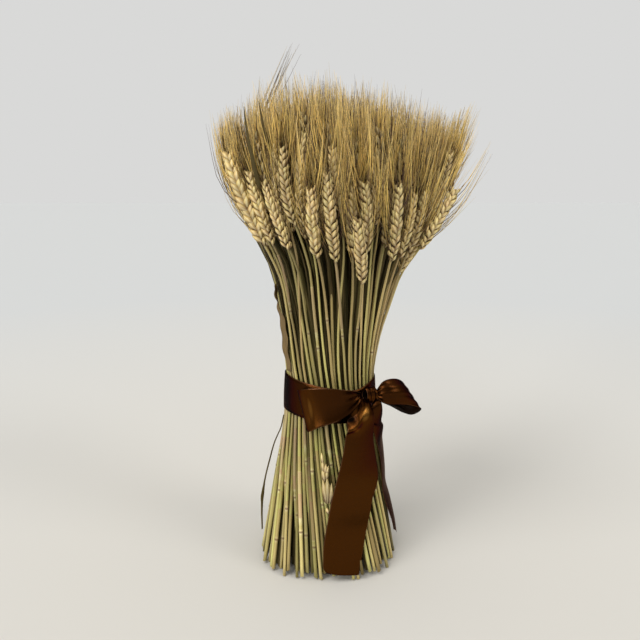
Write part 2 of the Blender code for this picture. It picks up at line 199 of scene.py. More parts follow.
def spline(values, count):
    """Values on a smooth curve through the given ones, evenly by their order."""
    values = np.asarray(values, float)
    ends = np.concatenate([[2 * values[0] - values[1]], values, [2 * values[-1] - values[-2]]])
    place = np.linspace(0.0, len(values) - 1.0, count)
    low = np.minimum(place.astype(int), len(values) - 2)
    share = (place - low).reshape((-1,) + (1,) * (values.ndim - 1))
    before, start, end, after = (ends[low + shift] for shift in range(4))
    return 0.5 * (
        2 * start + (end - before) * share + (2 * before - 5 * start + 4 * end - after) * share ** 2
        + (3 * start - before - 3 * end + after) * share ** 3
    )


class Path:
    """A line that can be read at any length from its start."""

    def __init__(self, points):
        self.points = points
        steps = np.linalg.norm(np.diff(points, axis=0), axis=1)
        self.lengths = np.concatenate(([0.0], np.cumsum(steps)))
        self.length = self.lengths[-1]

    def at(self, lengths):
        """Points at these lengths."""
        return np.stack([np.interp(lengths, self.lengths, self.points[:, axis]) for axis in range(3)], -1)

    def towards(self, lengths, reach=0.004):
        """Directions at these lengths."""
        ahead = np.minimum(np.asarray(lengths) + reach, self.length)
        behind = np.maximum(ahead - 2 * reach, 0.0)
        return unit(self.at(ahead) - self.at(behind))

    def length_at(self, height):
        """The length at which the line reaches a height."""
        return float(np.interp(height, self.points[:, 2], self.lengths))


# ---------------------------------------------------------------- reading the frame


def node_arrays(name):
    """A node's points and edges."""
    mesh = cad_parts[name].data
    points = np.empty(len(mesh.vertices) * 3, np.float32)
    mesh.vertices.foreach_get("co", points)
    edges = np.empty(len(mesh.edges) * 2, np.int32)
    mesh.edges.foreach_get("vertices", edges)
    return points.reshape(-1, 3).astype(float), edges.reshape(-1, 2)


def section(points, edges, height):
    """Where a node's edges cross a height."""
    ends = points[edges]
    crosses = (ends[:, 0, 2] < height) != (ends[:, 1, 2] < height)
    low, high = ends[crosses, 0], ends[crosses, 1]
    share = (height - low[:, 2]) / (high[:, 2] - low[:, 2])
    return low[:, :2] + (high - low)[:, :2] * share[:, None]


def measured_stalk(name):
    """A stalk's middle line from its cut end to its beard's tip, and where its ear starts."""
    points, edges = node_arrays(name)
    bottom, top = points[:, 2].min(), points[:, 2].max()
    heights = HEIGHTS[(HEIGHTS > bottom + 0.001) & (HEIGHTS < top - 0.001)]
    line, widths = [], []
    for height in heights:
        cut = section(points, edges, height)
        line.append((*(0.5 * (cut.min(0) + cut.max(0))), height))
        widths.append(np.ptp(cut, axis=0).min())
    wide = (heights > EAR_LOWEST) & (np.array(widths) > EAR_MIN_WIDTH)
    line = np.array(line)
    foot = line[0] - (line[1] - line[0]) * (heights[0] - bottom) / STEP
    tip = line[-1] + (line[-1] - line[-2]) * (top - heights[-1]) / STEP
    path = Path(smooth_line(np.vstack([foot, line, tip])))
    return path, path.length_at(heights[wide][0]) - EAR_START


def read_places(heights, known, places):
    """Level places at some heights, read from places known at other heights."""
    return np.stack([np.interp(heights, known, places[:, axis]) for axis in (0, 1)], -1)


def middle_line():
    """The sheaf's axis: the middle stalk's place at each height."""
    points, edges = node_arrays("inner_stalks")
    place, known, found = np.zeros(2), [], []
    for height in HEIGHTS:
        cut = section(points, edges, height)
        near = cut[np.linalg.norm(cut - place, axis=1) < MIDDLE_REACH]
        if len(near) > 3:
            place = 0.5 * (near.min(0) + near.max(0))
            known.append(height)
            found.append(place)
    return read_places(HEIGHTS, known, np.array(found))


class Flow:
    """How the sheaf widens, turns and leans with height, read from the frame's stalks."""

    def __init__(self, paths):
        self.middle = middle_line()
        self.axis = self.middle.copy()
        places = np.stack([read_places(HEIGHTS, path.points[:, 2], path.points) for path in paths])
        places -= self.axis
        spans = np.ptp(places, axis=0)
        self.depth = np.where(HEIGHTS < WAIST, np.clip(spans[:, 1] / spans[:, 0], 0.85, 1.0), 1.0)
        places[:, :, 1] /= self.depth
        outer = places[::2]
        angles = np.unwrap(np.arctan2(outer[:, :, 1], outer[:, :, 0]), axis=1)
        waist = int(round((WAIST - HEIGHTS[0]) / STEP))
        self.first_angle = np.arctan2(places[0, waist, 1], places[0, waist, 0])
        self.twist = self.carried(np.median(angles - angles[:, waist:waist + 1], axis=0))
        heights, sway, gather = np.transpose(SETTLED)
        self.gather = np.interp(HEIGHTS, heights, gather)
        self.radius = self.carried(np.median(np.linalg.norm(outer, axis=2), axis=0)) * self.gather
        self.axis[:, 0] += np.interp(HEIGHTS, heights, sway)

    @staticmethod
    def carried(values):
        """Values carried on in a straight line above the heights that all the stalks reach."""
        known = values[HEIGHTS < FLOW_TOP]
        slope = (known[-1] - known[-6]) / 5.0
        beyond = known[-1] + slope * np.arange(1, len(values) - len(known) + 1)
        soft = np.concatenate([known, beyond])
        return np.convolve(np.pad(soft, 2, mode="edge"), (0.1, 0.2, 0.4, 0.2, 0.1), "valid")

    def settled(self, points):
        """A measured stalk's points, moved as the sheaf sways and is gathered."""
        heights, moved = points[:, 2], points.copy()
        share = np.interp(heights, HEIGHTS, self.gather)[:, None]
        before = read_places(heights, HEIGHTS, self.middle)
        moved[:, :2] = read_places(heights, HEIGHTS, self.axis) + (points[:, :2] - before) * share
        return moved

    def at(self, angle, share, height):
        """Points at an angle (measured at the waist) and a share of the radius, following the flow."""
        turn = angle + np.interp(height, HEIGHTS, self.twist)
        return self.level(turn, share * self.radius_at(height), height)

    def level(self, turn, radius, height):
        """Points at a true angle and a radius round the axis."""
        depth = np.interp(height, HEIGHTS, self.depth)
        x = np.interp(height, HEIGHTS, self.axis[:, 0]) + radius * np.cos(turn)
        y = np.interp(height, HEIGHTS, self.axis[:, 1]) + radius * depth * np.sin(turn)
        return np.stack(np.broadcast_arrays(x, y, height), -1)

    def radius_at(self, height):
        """The radius of the outermost stems' middles."""
        return np.interp(height, HEIGHTS, self.radius)


MEASURED = [measured_stalk(name) for name in STALK_NODES]
FLOW = Flow([path for path, _ in MEASURED])

# Where the ears that face the front start and end.
EAR_PLACES = {
    "stalk_03": ((-0.0547, 0.0060, 0.3104), (-0.0733, 0.0120, 0.3719)),
    "stalk_05": ((-0.0590, -0.0060, 0.3310), (-0.0770, -0.0040, 0.3960)),
    "stalk_07": ((-0.0565, -0.054, 0.3198), (-0.0848, -0.06, 0.3946)),
    "stalk_08": ((-0.0485, -0.0560, 0.3200), (-0.0672, -0.0620, 0.3801)),
    "stalk_09": ((-0.0389, -0.0660, 0.3498), (-0.0437, -0.0740, 0.4029)),
    "stalk_10": ((-0.0426, -0.0500, 0.3326), (-0.0563, -0.0520, 0.3932)),
    "stalk_11": ((-0.0344, -0.0600, 0.3169), (-0.0530, -0.0680, 0.3720)),
    "stalk_12": ((-0.0287, -0.0700, 0.3374), (-0.0374, -0.0860, 0.3995)),
    "stalk_13": ((-0.0202, -0.0720, 0.3383), (-0.0205, -0.0840, 0.4087)),
    "stalk_14": ((-0.0101, -0.0740, 0.3115), (-0.0156, -0.0950, 0.3661)),
    "stalk_15": ((0.0091, -0.0780, 0.3478), (0.0020, -0.0920, 0.3974)),
    "stalk_16": ((0.0047, -0.0780, 0.3077), (-0.0028, -0.1000, 0.3794)),
    "stalk_17": ((0.0190, -0.0680, 0.3119), (0.0169, -0.0850, 0.3691)),
    "stalk_18": ((0.0274, -0.0760, 0.2895), (0.0214, -0.0980, 0.3416)),
    "stalk_19": ((0.0307, -0.0700, 0.3160), (0.0272, -0.0880, 0.3710)),
    "stalk_20": ((0.0380, -0.0620, 0.3386), (0.0352, -0.0740, 0.3997)),
    "stalk_21": ((0.0474, -0.0560, 0.3180), (0.0487, -0.0680, 0.3805)),
    "stalk_22": ((0.0534, -0.0580, 0.3065), (0.0563, -0.0760, 0.3698)),
    "stalk_23": ((0.0612, -0.0500, 0.3091), (0.0705, -0.0620, 0.3631)),
    "stalk_24": ((0.0698, -0.0460, 0.3138), (0.0810, -0.0560, 0.3629)),
    "stalk_25": ((0.0804, -0.0400, 0.3158), (0.1066, -0.0520, 0.3654)),
    "stalk_27": ((0.0639, -0.028, 0.2926), (0.0955, -0.04, 0.3451)),
    "stalk_28": ((0.0880, -0.0200, 0.3400), (0.1050, -0.0340, 0.3970)),
}
# Ears turned to show both their rows.
EAR_ROLLS = {
    "stalk_03": -0.9, "stalk_05": -0.9, "stalk_07": -0.75, "stalk_08": -0.55, "stalk_10": -0.5,
    "stalk_23": 0.35, "stalk_24": 0.5, "stalk_25": 0.6, "stalk_27": 0.7, "stalk_28": 0.8,
}
# Ears with thin beards: the share of their awns that is left.
THIN_BEARDS = {
    "stalk_07": 0.22, "stalk_08": 0.4, "stalk_11": 0.6, "stalk_12": 0.7, "stalk_14": 0.6, "stalk_16": 0.6,
    "stalk_18": 0.35, "stalk_21": 0.7, "stalk_25": 0.4, "stalk_27": 0.12, "stalk_28": 0.6,
}
# Ears broader or narrower than the rest: the scale of their husks.
BROAD_EARS = {"stalk_07": 1.28, "stalk_14": 1.08, "stalk_12": 0.92}
# Beards whose awns stay together: how much of the usual scatter they have.
CLOSE_BEARDS = {"stalk_07": 0.30, "stalk_25": 0.18, "stalk_27": 0.35, "stalk_28": 0.55}
# The height from which a stalk bends towards its ear's place, and the stalks that bend later.
BEND_FROM = 0.205
LATE_BENDS = {"stalk_25": 0.288, "stalk_28": 0.240}
# How soon an ear turns from its stem's direction, and how far its line goes on past its tip.
EAR_BEND = 0.42
BEYOND_EAR = 0.066
# Below this height a stalk is drawn this much of the way to a straight line.
STRAIGHT_BELOW, STRAIGHTENED = 0.154, 0.85
# How much further out the feet stand at the four corners of the sheaf.
FOOT_CORNERS = 0.0062


def led_to(path, bend_from, foot, start, tip):
    """The path bent above the ribbon so that its ear runs from start to tip."""
    start, tip = np.array(start), np.array(tip)
    low = path.length_at(bend_from)
    lengths = np.arange(0.0, foot, STEP)
    share = ease((lengths - low) / (foot - low))[:, None]
    stem = path.at(lengths) + (start - path.at(foot)) * share
    length = float(np.linalg.norm(tip - start))
    rising = unit(stem[-1] - stem[-4])
    reach = np.arange(0.0, 1.0001, 0.0625)[:, None]
    bend = start + rising * length * EAR_BEND
    ear = (1 - reach) ** 2 * start + 2 * reach * (1 - reach) * bend + reach ** 2 * tip
    last = unit(ear[-1] - ear[-3])
    beyond = ear[-1] + last * np.arange(STEP, BEYOND_EAR, STEP)[:, None]
    bent = Path(smooth_line(np.vstack([stem, ear, beyond]), 2))
    return bent, bent.length_at(start[2]), Path(ear).length


def from_axis(points):
    """Level lines to points from the axis."""
    away = points.copy()
    away[..., :2] -= read_places(points[..., 2], HEIGHTS, FLOW.axis)
    away[..., 2] = 0.0
    return away


def outward_from_axis(points):
    """The level directions away from the axis."""
    return unit(from_axis(points))


def straightened(points):
    """A stalk's points, nearly straight under the ribbon, with its foot set out at the corners."""
    low = points[:, 2] < STRAIGHT_BELOW
    foot, top = points[low][0], points[low][-1]
    share = (points[low, 2] - foot[2]) / (top[2] - foot[2])
    straight = foot + (top - foot) * share[:, None]
    points = points.copy()
    points[low] += STRAIGHTENED * (straight - points[low])
    level = from_axis(points[low])
    away = unit(level)
    corner = (2.0 * away[:, 0] * away[:, 1]) ** 2
    share_out = np.linalg.norm(level, axis=1) / FLOW.radius_at(points[low, 2])
    out = FOOT_CORNERS * corner * share_out * (1.0 - points[low, 2] / STRAIGHT_BELOW)
    points[low] += away * out[:, None]
    return points


def dressed_stalk(name, path, foot):
    """An outer stalk's line, where its ear starts and how long the ear is."""
    path = Path(straightened(FLOW.settled(path.points)))
    if name in EAR_PLACES:
        return led_to(path, LATE_BENDS.get(name, BEND_FROM), foot, *EAR_PLACES[name])
    return path, foot, EAR_SHARE * (path.length - foot)


# ---------------------------------------------------------------- meshes


# The places of the finishes in stalk_materials, and a full turn for random angles.
STRAW, HUSK, AWN, SHADED_STRAW = range(4)
ROUND = 6.28


class Parts:
    """Vertices, faces and the numbers that the materials read, gathered part by part."""

    def __init__(self):
        self.points, self.loops, self.sizes, self.slots, self.grain = [], [], [], [], []
        self.numbers = {"tone": [], "along": [], "mark": []}
        self.count = 0

    def add(self, points, faces, slot, tone, along, mark, grain):
        """Add points (N, 3) and faces, a list of (M, corners) arrays."""
        total = len(points)
        self.points.append(points)
        for face in faces:
            self.loops.append((face + self.count).ravel())
            self.sizes.append(np.full(len(face), face.shape[1]))
            self.slots.append(np.full(len(face), slot))
        for name, values in (("tone", tone), ("along", along), ("mark", mark)):
            self.numbers[name].append(np.broadcast_to(np.asarray(values, float), (total,)))
        self.grain.append(np.broadcast_to(grain, (total, 2)))
        self.count += total

    def add_sheet(self, points, tone, along, mark, flat, closed=False, turned=False):
        """Add points (rows, columns, 3) as one sheet, with numbers and flat places for each point."""
        rows, columns = points.shape[:2]
        index = np.arange(rows * columns).reshape(rows, columns)
        if closed:
            index = np.vstack([index, index[:1]])
        faces = np.stack([index[:-1, :-1], index[:-1, 1:], index[1:, 1:], index[1:, :-1]], -1).reshape(-1, 4)
        if turned:
            faces = faces[:, ::-1]
        numbers = (np.broadcast_to(values, (rows, columns)).ravel() for values in (tone, along, mark))
        grain = np.stack(np.broadcast_arrays(*flat), -1).reshape(-1, 2)
        self.add(points.reshape(-1, 3), [faces], 0, *numbers, grain)

    def build(self, name, materials):
        """The finished object."""
        points = np.vstack(self.points).astype(np.float32)
        loops = np.concatenate(self.loops).astype(np.int32)
        sizes = np.concatenate(self.sizes)
        mesh = bpy.data.meshes.new(name)
        mesh.vertices.add(len(points))
        mesh.vertices.foreach_set("co", points.ravel())
        mesh.loops.add(len(loops))
        mesh.loops.foreach_set("vertex_index", loops)
        mesh.polygons.add(len(sizes))
        starts = np.concatenate(([0], np.cumsum(sizes)[:-1])).astype(np.int32)
        mesh.polygons.foreach_set("loop_start", starts)
        mesh.polygons.foreach_set("material_index", np.concatenate(self.slots).astype(np.int32))
        mesh.update(calc_edges=True)
        for material in materials:
            mesh.materials.append(material)
        for key, values in self.numbers.items():
            layer = mesh.attributes.new(key, "FLOAT", "POINT")
            layer.data.foreach_set("value", np.concatenate(values).astype(np.float32))
        grain = np.vstack(self.grain).astype(np.float32)
        grain_map = mesh.uv_layers.new(name="Grain")
        grain_map.uv.foreach_set("vector", grain[loops].ravel())
        self.lay_out(mesh, loops, sizes)
        mesh.shade_smooth()
        item = bpy.data.objects.new(name, mesh)
        bpy.context.scene.collection.objects.link(item)
        return item

    def lay_out(self, mesh, loops, sizes):
        """A map that lays each kind of part in its own band, by its tone and along its length."""
        tone = np.concatenate(self.numbers["tone"])
        along = np.concatenate(self.numbers["along"])
        across = np.vstack(self.grain)[:, 0]
        across = (across - across.min()) / max(np.ptp(across), 1e-6)
        slots = np.repeat(np.concatenate(self.slots), sizes)
        bands = max(int(slots.max()) + 1, 1)
        u = (slots + 0.05 + 0.9 * np.clip(0.8 * tone[loops] + 0.2 * across[loops], 0, 1)) / bands
        places = np.stack([u, along[loops].clip(0, 1)], 1).astype(np.float32)
        laid = mesh.uv_layers.new(name="OFBake")
        laid.uv.foreach_set("vector", places.ravel())


def tube_faces(rings, sides):
    """Quads between rings of points."""
    ring, side = np.meshgrid(np.arange(rings - 1), np.arange(sides), indexing="ij")
    here, beside = ring * sides + side, ring * sides + (side + 1) % sides
    return np.stack([here, beside, beside + sides, here + sides], -1).reshape(-1, 4)


def many_tubes(number, rings, sides):
    """The quads and the two end caps of many tubes of the same size."""
    single = rings * sides
    shift = (np.arange(number) * single)[:, None, None]
    caps = np.stack([np.arange(sides)[::-1], np.arange(sides) + single - sides])
    return [(tube_faces(rings, sides)[None] + shift).reshape(-1, 4), (caps[None] + shift).reshape(-1, sides)]


# A straw's cut end: how slanted it is, and its bore as shares of its radius at two depths.
CUT_SLANT = 0.45
BORE = ((0.58, 0.004), (0.62, 0.0))
# The mark that paints the bottom of the bore dark like a joint: painted shade in the hollow.
BORE_SHADE_MARK = 1.6
# Where a straw turns from its lower to its upper tone, and over what height.
TONE_FROM, TONE_REACH = 0.055, 0.095


def add_straw(parts, path, stations, sides, tone, upper, rng, slot=STRAW):
    """A hollow straw through (length, radius, joint mark, sheath mark) stations, in two tones."""
    lengths, radii, joint, sheath = np.array(sorted(stations)).T
    middles, ahead = path.at(lengths), path.towards(lengths)
    east = unit(np.cross(ahead, np.array([0.3, 1.0, 0.0])))
    north = np.cross(ahead, east)
    turn = 2 * np.pi * np.arange(sides) / sides + rng.uniform(0, ROUND)
    ring = np.cos(turn)[None, :, None] * east[:, None] + np.sin(turn)[None, :, None] * north[:, None]
    outside = middles[:, None] + ring * radii[:, None, None]
    slant = CUT_SLANT * radii[0] * np.cos(turn - rng.uniform(0, ROUND)) + CUT_SLANT * radii[0]
    outside[0] += ahead[0] * slant[:, None]
    bore = [middles[0] + ring[0] * radii[0] * share + ahead[0] * (slant[:, None] + depth)
            for share, depth in BORE]
    points = np.concatenate([bore, outside]).reshape(-1, 3)
    rows = len(lengths) + len(bore)
    last = np.arange(sides)[None] + (rows - 1) * sides
    faces = [tube_faces(rows, sides), last, np.arange(sides)[::-1][None]]
    lengths = np.concatenate([[0, 0], lengths])
    mark = np.concatenate([[BORE_SHADE_MARK, 0.0], joint + 0.5 * sheath * (joint < 0.05)])
    around = np.tile(np.arange(sides) / sides, rows) * 2 * np.pi * radii.max()
    grain = np.stack([around + tone, np.repeat(lengths, sides)], 1)
    tones = tone + (upper - tone) * ease((points[:, 2] - TONE_FROM) / TONE_REACH)
    parts.add(points, faces, slot, tones, np.repeat(lengths / path.length, sides), np.repeat(mark, sides),
              grain)


# A husk's rings: how far along it, its width, and how far its back is raised; then its
# cross-section, as shares of half its width and of its thickness.
HUSK_RINGS = ((0.0, 0.35, 0.0), (0.22, 0.82, 0.5), (0.48, 1.0, 1.0), (0.76, 0.70, 0.85), (1.0, 0.07, 0.15))
HUSK_SIDES = ((0.0, 1.0), (1.0, 0.10), (0.55, -0.35), (-0.55, -0.35), (-1.0, 0.10))
PLAIN_HUSK_RINGS = ((0.0, 0.35, 0.0), (0.42, 1.0, 0.9), (0.78, 0.66, 0.8), (1.0, 0.10, 0.2))
PLAIN_HUSK_SIDES = ((0.0, 1.0), (1.0, 0.0), (0.0, -0.35), (-1.0, 0.0))
HUSK_BELLY = 0.10
# The grain of a husk, in metres across half of it and along it.
HUSK_GRAIN = (0.002, 0.011)


def add_husks(parts, roots, ahead, across, out, length, width, thickness, tone, detailed):
    """Pointed husks, all at once: a keeled boat shape at each root."""
    rings = np.array(HUSK_RINGS if detailed else PLAIN_HUSK_RINGS)
    sides = np.array(HUSK_SIDES if detailed else PLAIN_HUSK_SIDES)
    number, rows, count = len(roots), len(rings), len(sides)
    single = rows * count
    length, width, thickness = (values[:, None, None] for values in (length, width, thickness))
    along, swell, raised = (column[None, :, None] for column in rings.T)
    middle = (roots[:, None] + ahead[:, None] * (along * length)
              + out[:, None] * (HUSK_BELLY * raised * length))
    wide = 0.5 * swell * sides[:, 0][None, None, :] * width
    deep = swell * sides[:, 1][None, None, :] * thickness
    points = (middle[:, :, None] + across[:, None, None] * wide[..., None]
              + out[:, None, None] * deep[..., None])
    share = np.tile(np.repeat(rings[:, 0], count), number)
    keel = np.tile(sides[:, 1], rows * number)
    tone = np.repeat(tone, single)
    grain = np.stack([
        np.tile(sides[:, 0], rows * number) * HUSK_GRAIN[0] + tone,
        share * HUSK_GRAIN[1] + np.repeat(roots[:, 2], single),
    ], 1)
    parts.add(points.reshape(-1, 3), many_tubes(number, rows, count), HUSK, tone, share, keel, grain)


# An awn's sides, how soon it turns to its target, and how it tapers.
AWN_SIDES = 3
AWN_BEND = 1.9
AWN_TAPER, AWN_TAPER_POWER = 0.84, 1.3


def add_awns(parts, roots, ahead, target, length, radius, tone, segments, rng):
    """Fine tapering bristles that start along their husks and turn towards a target direction."""
    number = len(roots)
    share = np.linspace(0.0, 1.0, segments + 1)
    bend = ease(share * AWN_BEND)[None, :, None]
    heading = unit(ahead[:, None] * (1 - bend) + target[:, None] * bend)
    steps = 0.5 * (heading[:, 1:] + heading[:, :-1]) * (length / segments)[:, None, None]
    middles = np.concatenate([roots[:, None], roots[:, None] + np.cumsum(steps, axis=1)], axis=1)
    east = unit(np.cross(heading, np.array([0.2, 1.0, 0.1])))
    north = np.cross(heading, east)
    spin = rng.uniform(0, ROUND, number)[:, None, None, None]
    angle = (np.pi * 2 * np.arange(AWN_SIDES) / AWN_SIDES)[None, None, :, None] + spin
    taper = (1.0 - AWN_TAPER * share ** AWN_TAPER_POWER)[None, :, None, None] * radius[:, None, None, None]
    ring = np.cos(angle) * east[:, :, None] + np.sin(angle) * north[:, :, None]
    points = middles[:, :, None] + ring * taper
    tone = np.repeat(tone, AWN_SIDES * (segments + 1))
    along = np.tile(np.repeat(share, AWN_SIDES), number)
    parts.add(points.reshape(-1, 3), many_tubes(number, segments + 1, AWN_SIDES), AWN, tone, along, 0.0,
              np.stack([tone, along], 1))


# How an ear swells and narrows from its foot to its tip.
EAR_SWELL = ((0.0, 0.66), (0.10, 0.86), (0.30, 1.0), (0.65, 1.0), (0.88, 0.86), (1.0, 0.66))
# The most that an ear turns about its own line, and the direction that its face leans to.
EAR_TURN = 0.45
EAR_FACING = (0.0, -0.02, 0.0)
# Each spikelet's husks: which face of the ear they show on, and how far out they stand. Plain
# ears have fewer, with more room between one spikelet and the next.
FULL_SPIKELET = ((1.0, 0.0), (-1.0, 0.0), (0.5, 1.0), (-0.5, 1.0))
PLAIN_SPIKELET = ((0.9, 0.3), (-0.9, 0.3))
PLAIN_PITCH = 1.65
# How thick a husk is made, as a share of the thickness in the settings.
HUSK_FULLNESS = 0.62
# How much husks vary within an ear: scale, tilt, length, and tone to either side; and the tones
# that they keep to.
HUSK_SCALE, HUSK_TILTS, HUSK_LENGTHS, HUSK_TONE = (0.90, 1.09), (0.74, 1.22), (0.88, 1.10), 0.24
TONE_LOW, TONE_HIGH = -0.8, 1
# The share of its awns that the lowest spikelet has, and that inner husks have.
LOW_AWNED, INNER_AWNED = 0.62, 0.62

# The height that the awns reach over each place from left to right.
CROWN = (
    (-0.105, 0.428), (-0.092, 0.436), (-0.078, 0.441), (-0.065, 0.450), (-0.045, 0.463), (-0.020, 0.459),
    (0.000, 0.463), (0.015, 0.454), (0.050, 0.449), (0.075, 0.444), (0.090, 0.436), (0.108, 0.432),
    (0.134, 0.446),
)
# How far to the left, to the right, and forwards and back the awns reach.
AWNS_REACH, AWNS_DEPTH = (-0.1045, 0.1344), 0.1160
# The share of the awns that stand above the crown; the others take at least this share of the
# room under it, and up to this much more. Then an awn's least length, and how awns vary.
TALL_SHARE, ROOM_LEAST, ROOM_MORE = 0.12, 0.66, 0.38
SHORTEST_AWN, AWN_LENGTHS, AWN_RADII = 0.012, (0.74, 1.12), (0.75, 1.2)
# How much of its husk's own slant an awn keeps.
AWN_SPLAY = 0.20
# How much the awns of one ear stray together, and each on its own.
EAR_STRAY, AWN_STRAY = 0.085, 0.08
# How far the awns turn from their ear's own line towards straight up, from left to right; then
# behind the sheaf, from what depth and over what reach.
UPRIGHT = ((-0.060, 0.62), (-0.020, 0.42), (0.050, 0.30), (0.080, 0.05))
UPRIGHT_BEHIND, BEHIND_FROM, BEHIND_REACH = 0.55, 0.02, 0.04


def awn_targets(roots, axis, rng, scatter):
    """The directions that awns turn to."""
    bias = np.interp(roots[:, 0], *np.transpose(UPRIGHT))
    behind = ease((roots[:, 1] - BEHIND_FROM) / BEHIND_REACH)
    bias = (bias * (1 - behind) + UPRIGHT_BEHIND * behind)[:, None]
    strays = rng.normal(0, EAR_STRAY, 3) + rng.normal(0, AWN_STRAY, roots.shape)
    return unit(axis * (1 - bias) + np.array([0.0, 0.0, 1.0]) * bias + scatter * strays)


def add_ear(parts, path, foot, length, sizes, rng, detailed, fine=True, awned=1.0, roll=None,
            shade=(0.2, 0.85), broad=1.0, scatter=1.0):
    """An ear: spikelets in two rows up the path, each of a few husks, with their awns.

    awned is the share of the awns that is left, roll the ear's turn about its own line, shade the
    range of its tone, broad the scale of its husks, and scatter how much its awns stray.
    """
    count = int(round(length / sizes.spikelet_pitch / (1.0 if detailed else PLAIN_PITCH)))
    share = (np.arange(count) + 0.3) / count
    roots, ahead = path.at(foot + share * length), path.towards(foot + share * length)
    turn = rng.uniform(-EAR_TURN, EAR_TURN) if roll is None else roll
    side = unit(np.cross(ahead, from_axis(roots) + np.array(EAR_FACING)))
    face = unit(np.cross(side, ahead))
    cosine, sine = math.cos(turn), math.sin(turn)
    side, face = side * cosine + face * sine, face * cosine - side * sine
    side = side * np.where(np.arange(count) % 2 == 0, 1.0, -1.0)[:, None]
    size = broad * np.interp(share, *np.transpose(EAR_SWELL)) * rng.uniform(*HUSK_SCALE, count)
    tilt = sizes.husk_tilt * (1.0 - 0.34 * share ** 2) * rng.uniform(*HUSK_TILTS, count)
    ear_tone = rng.uniform(*shade)
    husks = []
    for near, outer in FULL_SPIKELET if detailed else PLAIN_SPIKELET:
        angle = (tilt * (1.0 - 0.12 * outer))[:, None]
        fan = (near * 0.10 * (1 - 0.5 * outer) + 0.05 * rng.uniform(-1, 1, count))[:, None]
        head = unit(ahead * np.cos(angle) + side * np.sin(angle) + face * fan)
        out = face * near * (1.15 - 0.6 * outer) + side * (0.22 + 0.85 * outer)
        out = unit(out - head * np.sum(out * head, 1, keepdims=True))
        raised = face * near * (0.0016 + rng.uniform(-3e-4, 3e-4, (count, 1)))
        base = roots + side * (0.0012 * outer - 0.0005) + raised + ahead * 0.0012 * outer
        long = sizes.husk_length * (1.0 + 0.06 * outer) * size * rng.uniform(*HUSK_LENGTHS, count)
        wide = sizes.husk_width * (1.0 - 0.12 * outer) * size
        varied = ear_tone + 0.10 * outer + rng.uniform(-HUSK_TONE, HUSK_TONE, count)
        tone = np.clip(varied, TONE_LOW, TONE_HIGH)
        husks.append((base, head, out, long, wide, tone, share, np.full(count, outer)))
    columns = (np.concatenate(column) for column in zip(*husks))
    bases, heads, outs, longs, wides, tones, shares, outers = columns
    thickness = wides * sizes.husk_thickness / sizes.husk_width * HUSK_FULLNESS
    add_husks(parts, bases, heads, np.cross(heads, outs), outs, longs, wides, thickness, tones,
              detailed and fine)
    tips = bases + heads * longs[:, None] * 0.97 + outs * 0.02 * longs[:, None]
    chance = awned * (LOW_AWNED + (1 - LOW_AWNED) * shares) * np.where(outers > 0.1, 1.0, INNER_AWNED)
    kept = rng.uniform(0, 1, len(tips)) < chance
    if kept.any():
        tips, heads, shares, tones = (values[kept] for values in (tips, heads, shares, tones))
        axis = path.towards(foot + length)
        add_beard(parts, tips, heads, shares, axis, tones, sizes, rng, detailed, scatter)


def add_beard(parts, tips, heads, shares, axis, tones, sizes, rng, detailed, scatter):
    """The awns of one ear, cut to the crown's height and to the sheaf's reach."""
    aside = heads - axis * np.sum(heads * axis, 1, keepdims=True)
    target = unit(awn_targets(tips, axis, rng, scatter) + AWN_SPLAY * scatter * aside)
    longest = (sizes.awn_length + sizes.awn_extra * (1 - shares)) * rng.uniform(*AWN_LENGTHS, len(tips))
    ends = tips + target * longest[:, None]
    room = (np.interp(ends[:, 0], *np.transpose(CROWN)) - tips[:, 2]) / np.maximum(target[:, 2], 0.3)
    stray = rng.uniform(0, 1, len(tips))
    room = room * np.where(stray < TALL_SHARE, 1.02 + stray, ROOM_LEAST + ROOM_MORE * stray)
    right = (AWNS_REACH[1] - tips[:, 0]) / np.maximum(target[:, 0], 0.05)
    left = (AWNS_REACH[0] - tips[:, 0]) / np.minimum(target[:, 0], -0.05)
    deep = (AWNS_DEPTH - np.abs(tips[:, 1])) / np.maximum(np.abs(target[:, 1]), 0.05)
    length = np.clip(np.min([longest, room, left, right, deep], axis=0), SHORTEST_AWN, None)
    radius = sizes.awn_radius * rng.uniform(*AWN_RADII, len(tips)) * (0.75 + 0.25 * shares)
    tone = np.clip(0.5 + 0.35 * np.maximum(tones - 0.5, -0.5) + rng.normal(0, 0.35, len(tips)), 0, 1)
    add_awns(parts, tips, heads, target, length, radius, tone, 5 if detailed else 4, rng)


# A joint's rings: how far from its middle, their swell and how dark they are; and how near to
# a joint no other station may come.
JOINT_RINGS = (
    (-0.0045, 1.0, 0.0), (-0.0016, 1.05, 0.35), (-0.0004, 1.20, 1.0),
    (0.0004, 1.18, 0.8), (0.0018, 1.10, 0.2), (0.0045, 1.05, 0.0),
)
JOINT_ROOM = 0.006
# How long a leaf sheath is, how thick it is along the straw, and its lip at the top.
SHEATH_LENGTH, SHEATH_THICKNESS, SHEATH_LIP = (0.05, 0.16), 0.00022, 0.00024
# How far a straw runs on into its ear, and the height at which it starts to bend to and fro.
INTO_EAR, WANDER_FROM = 0.004, 0.02


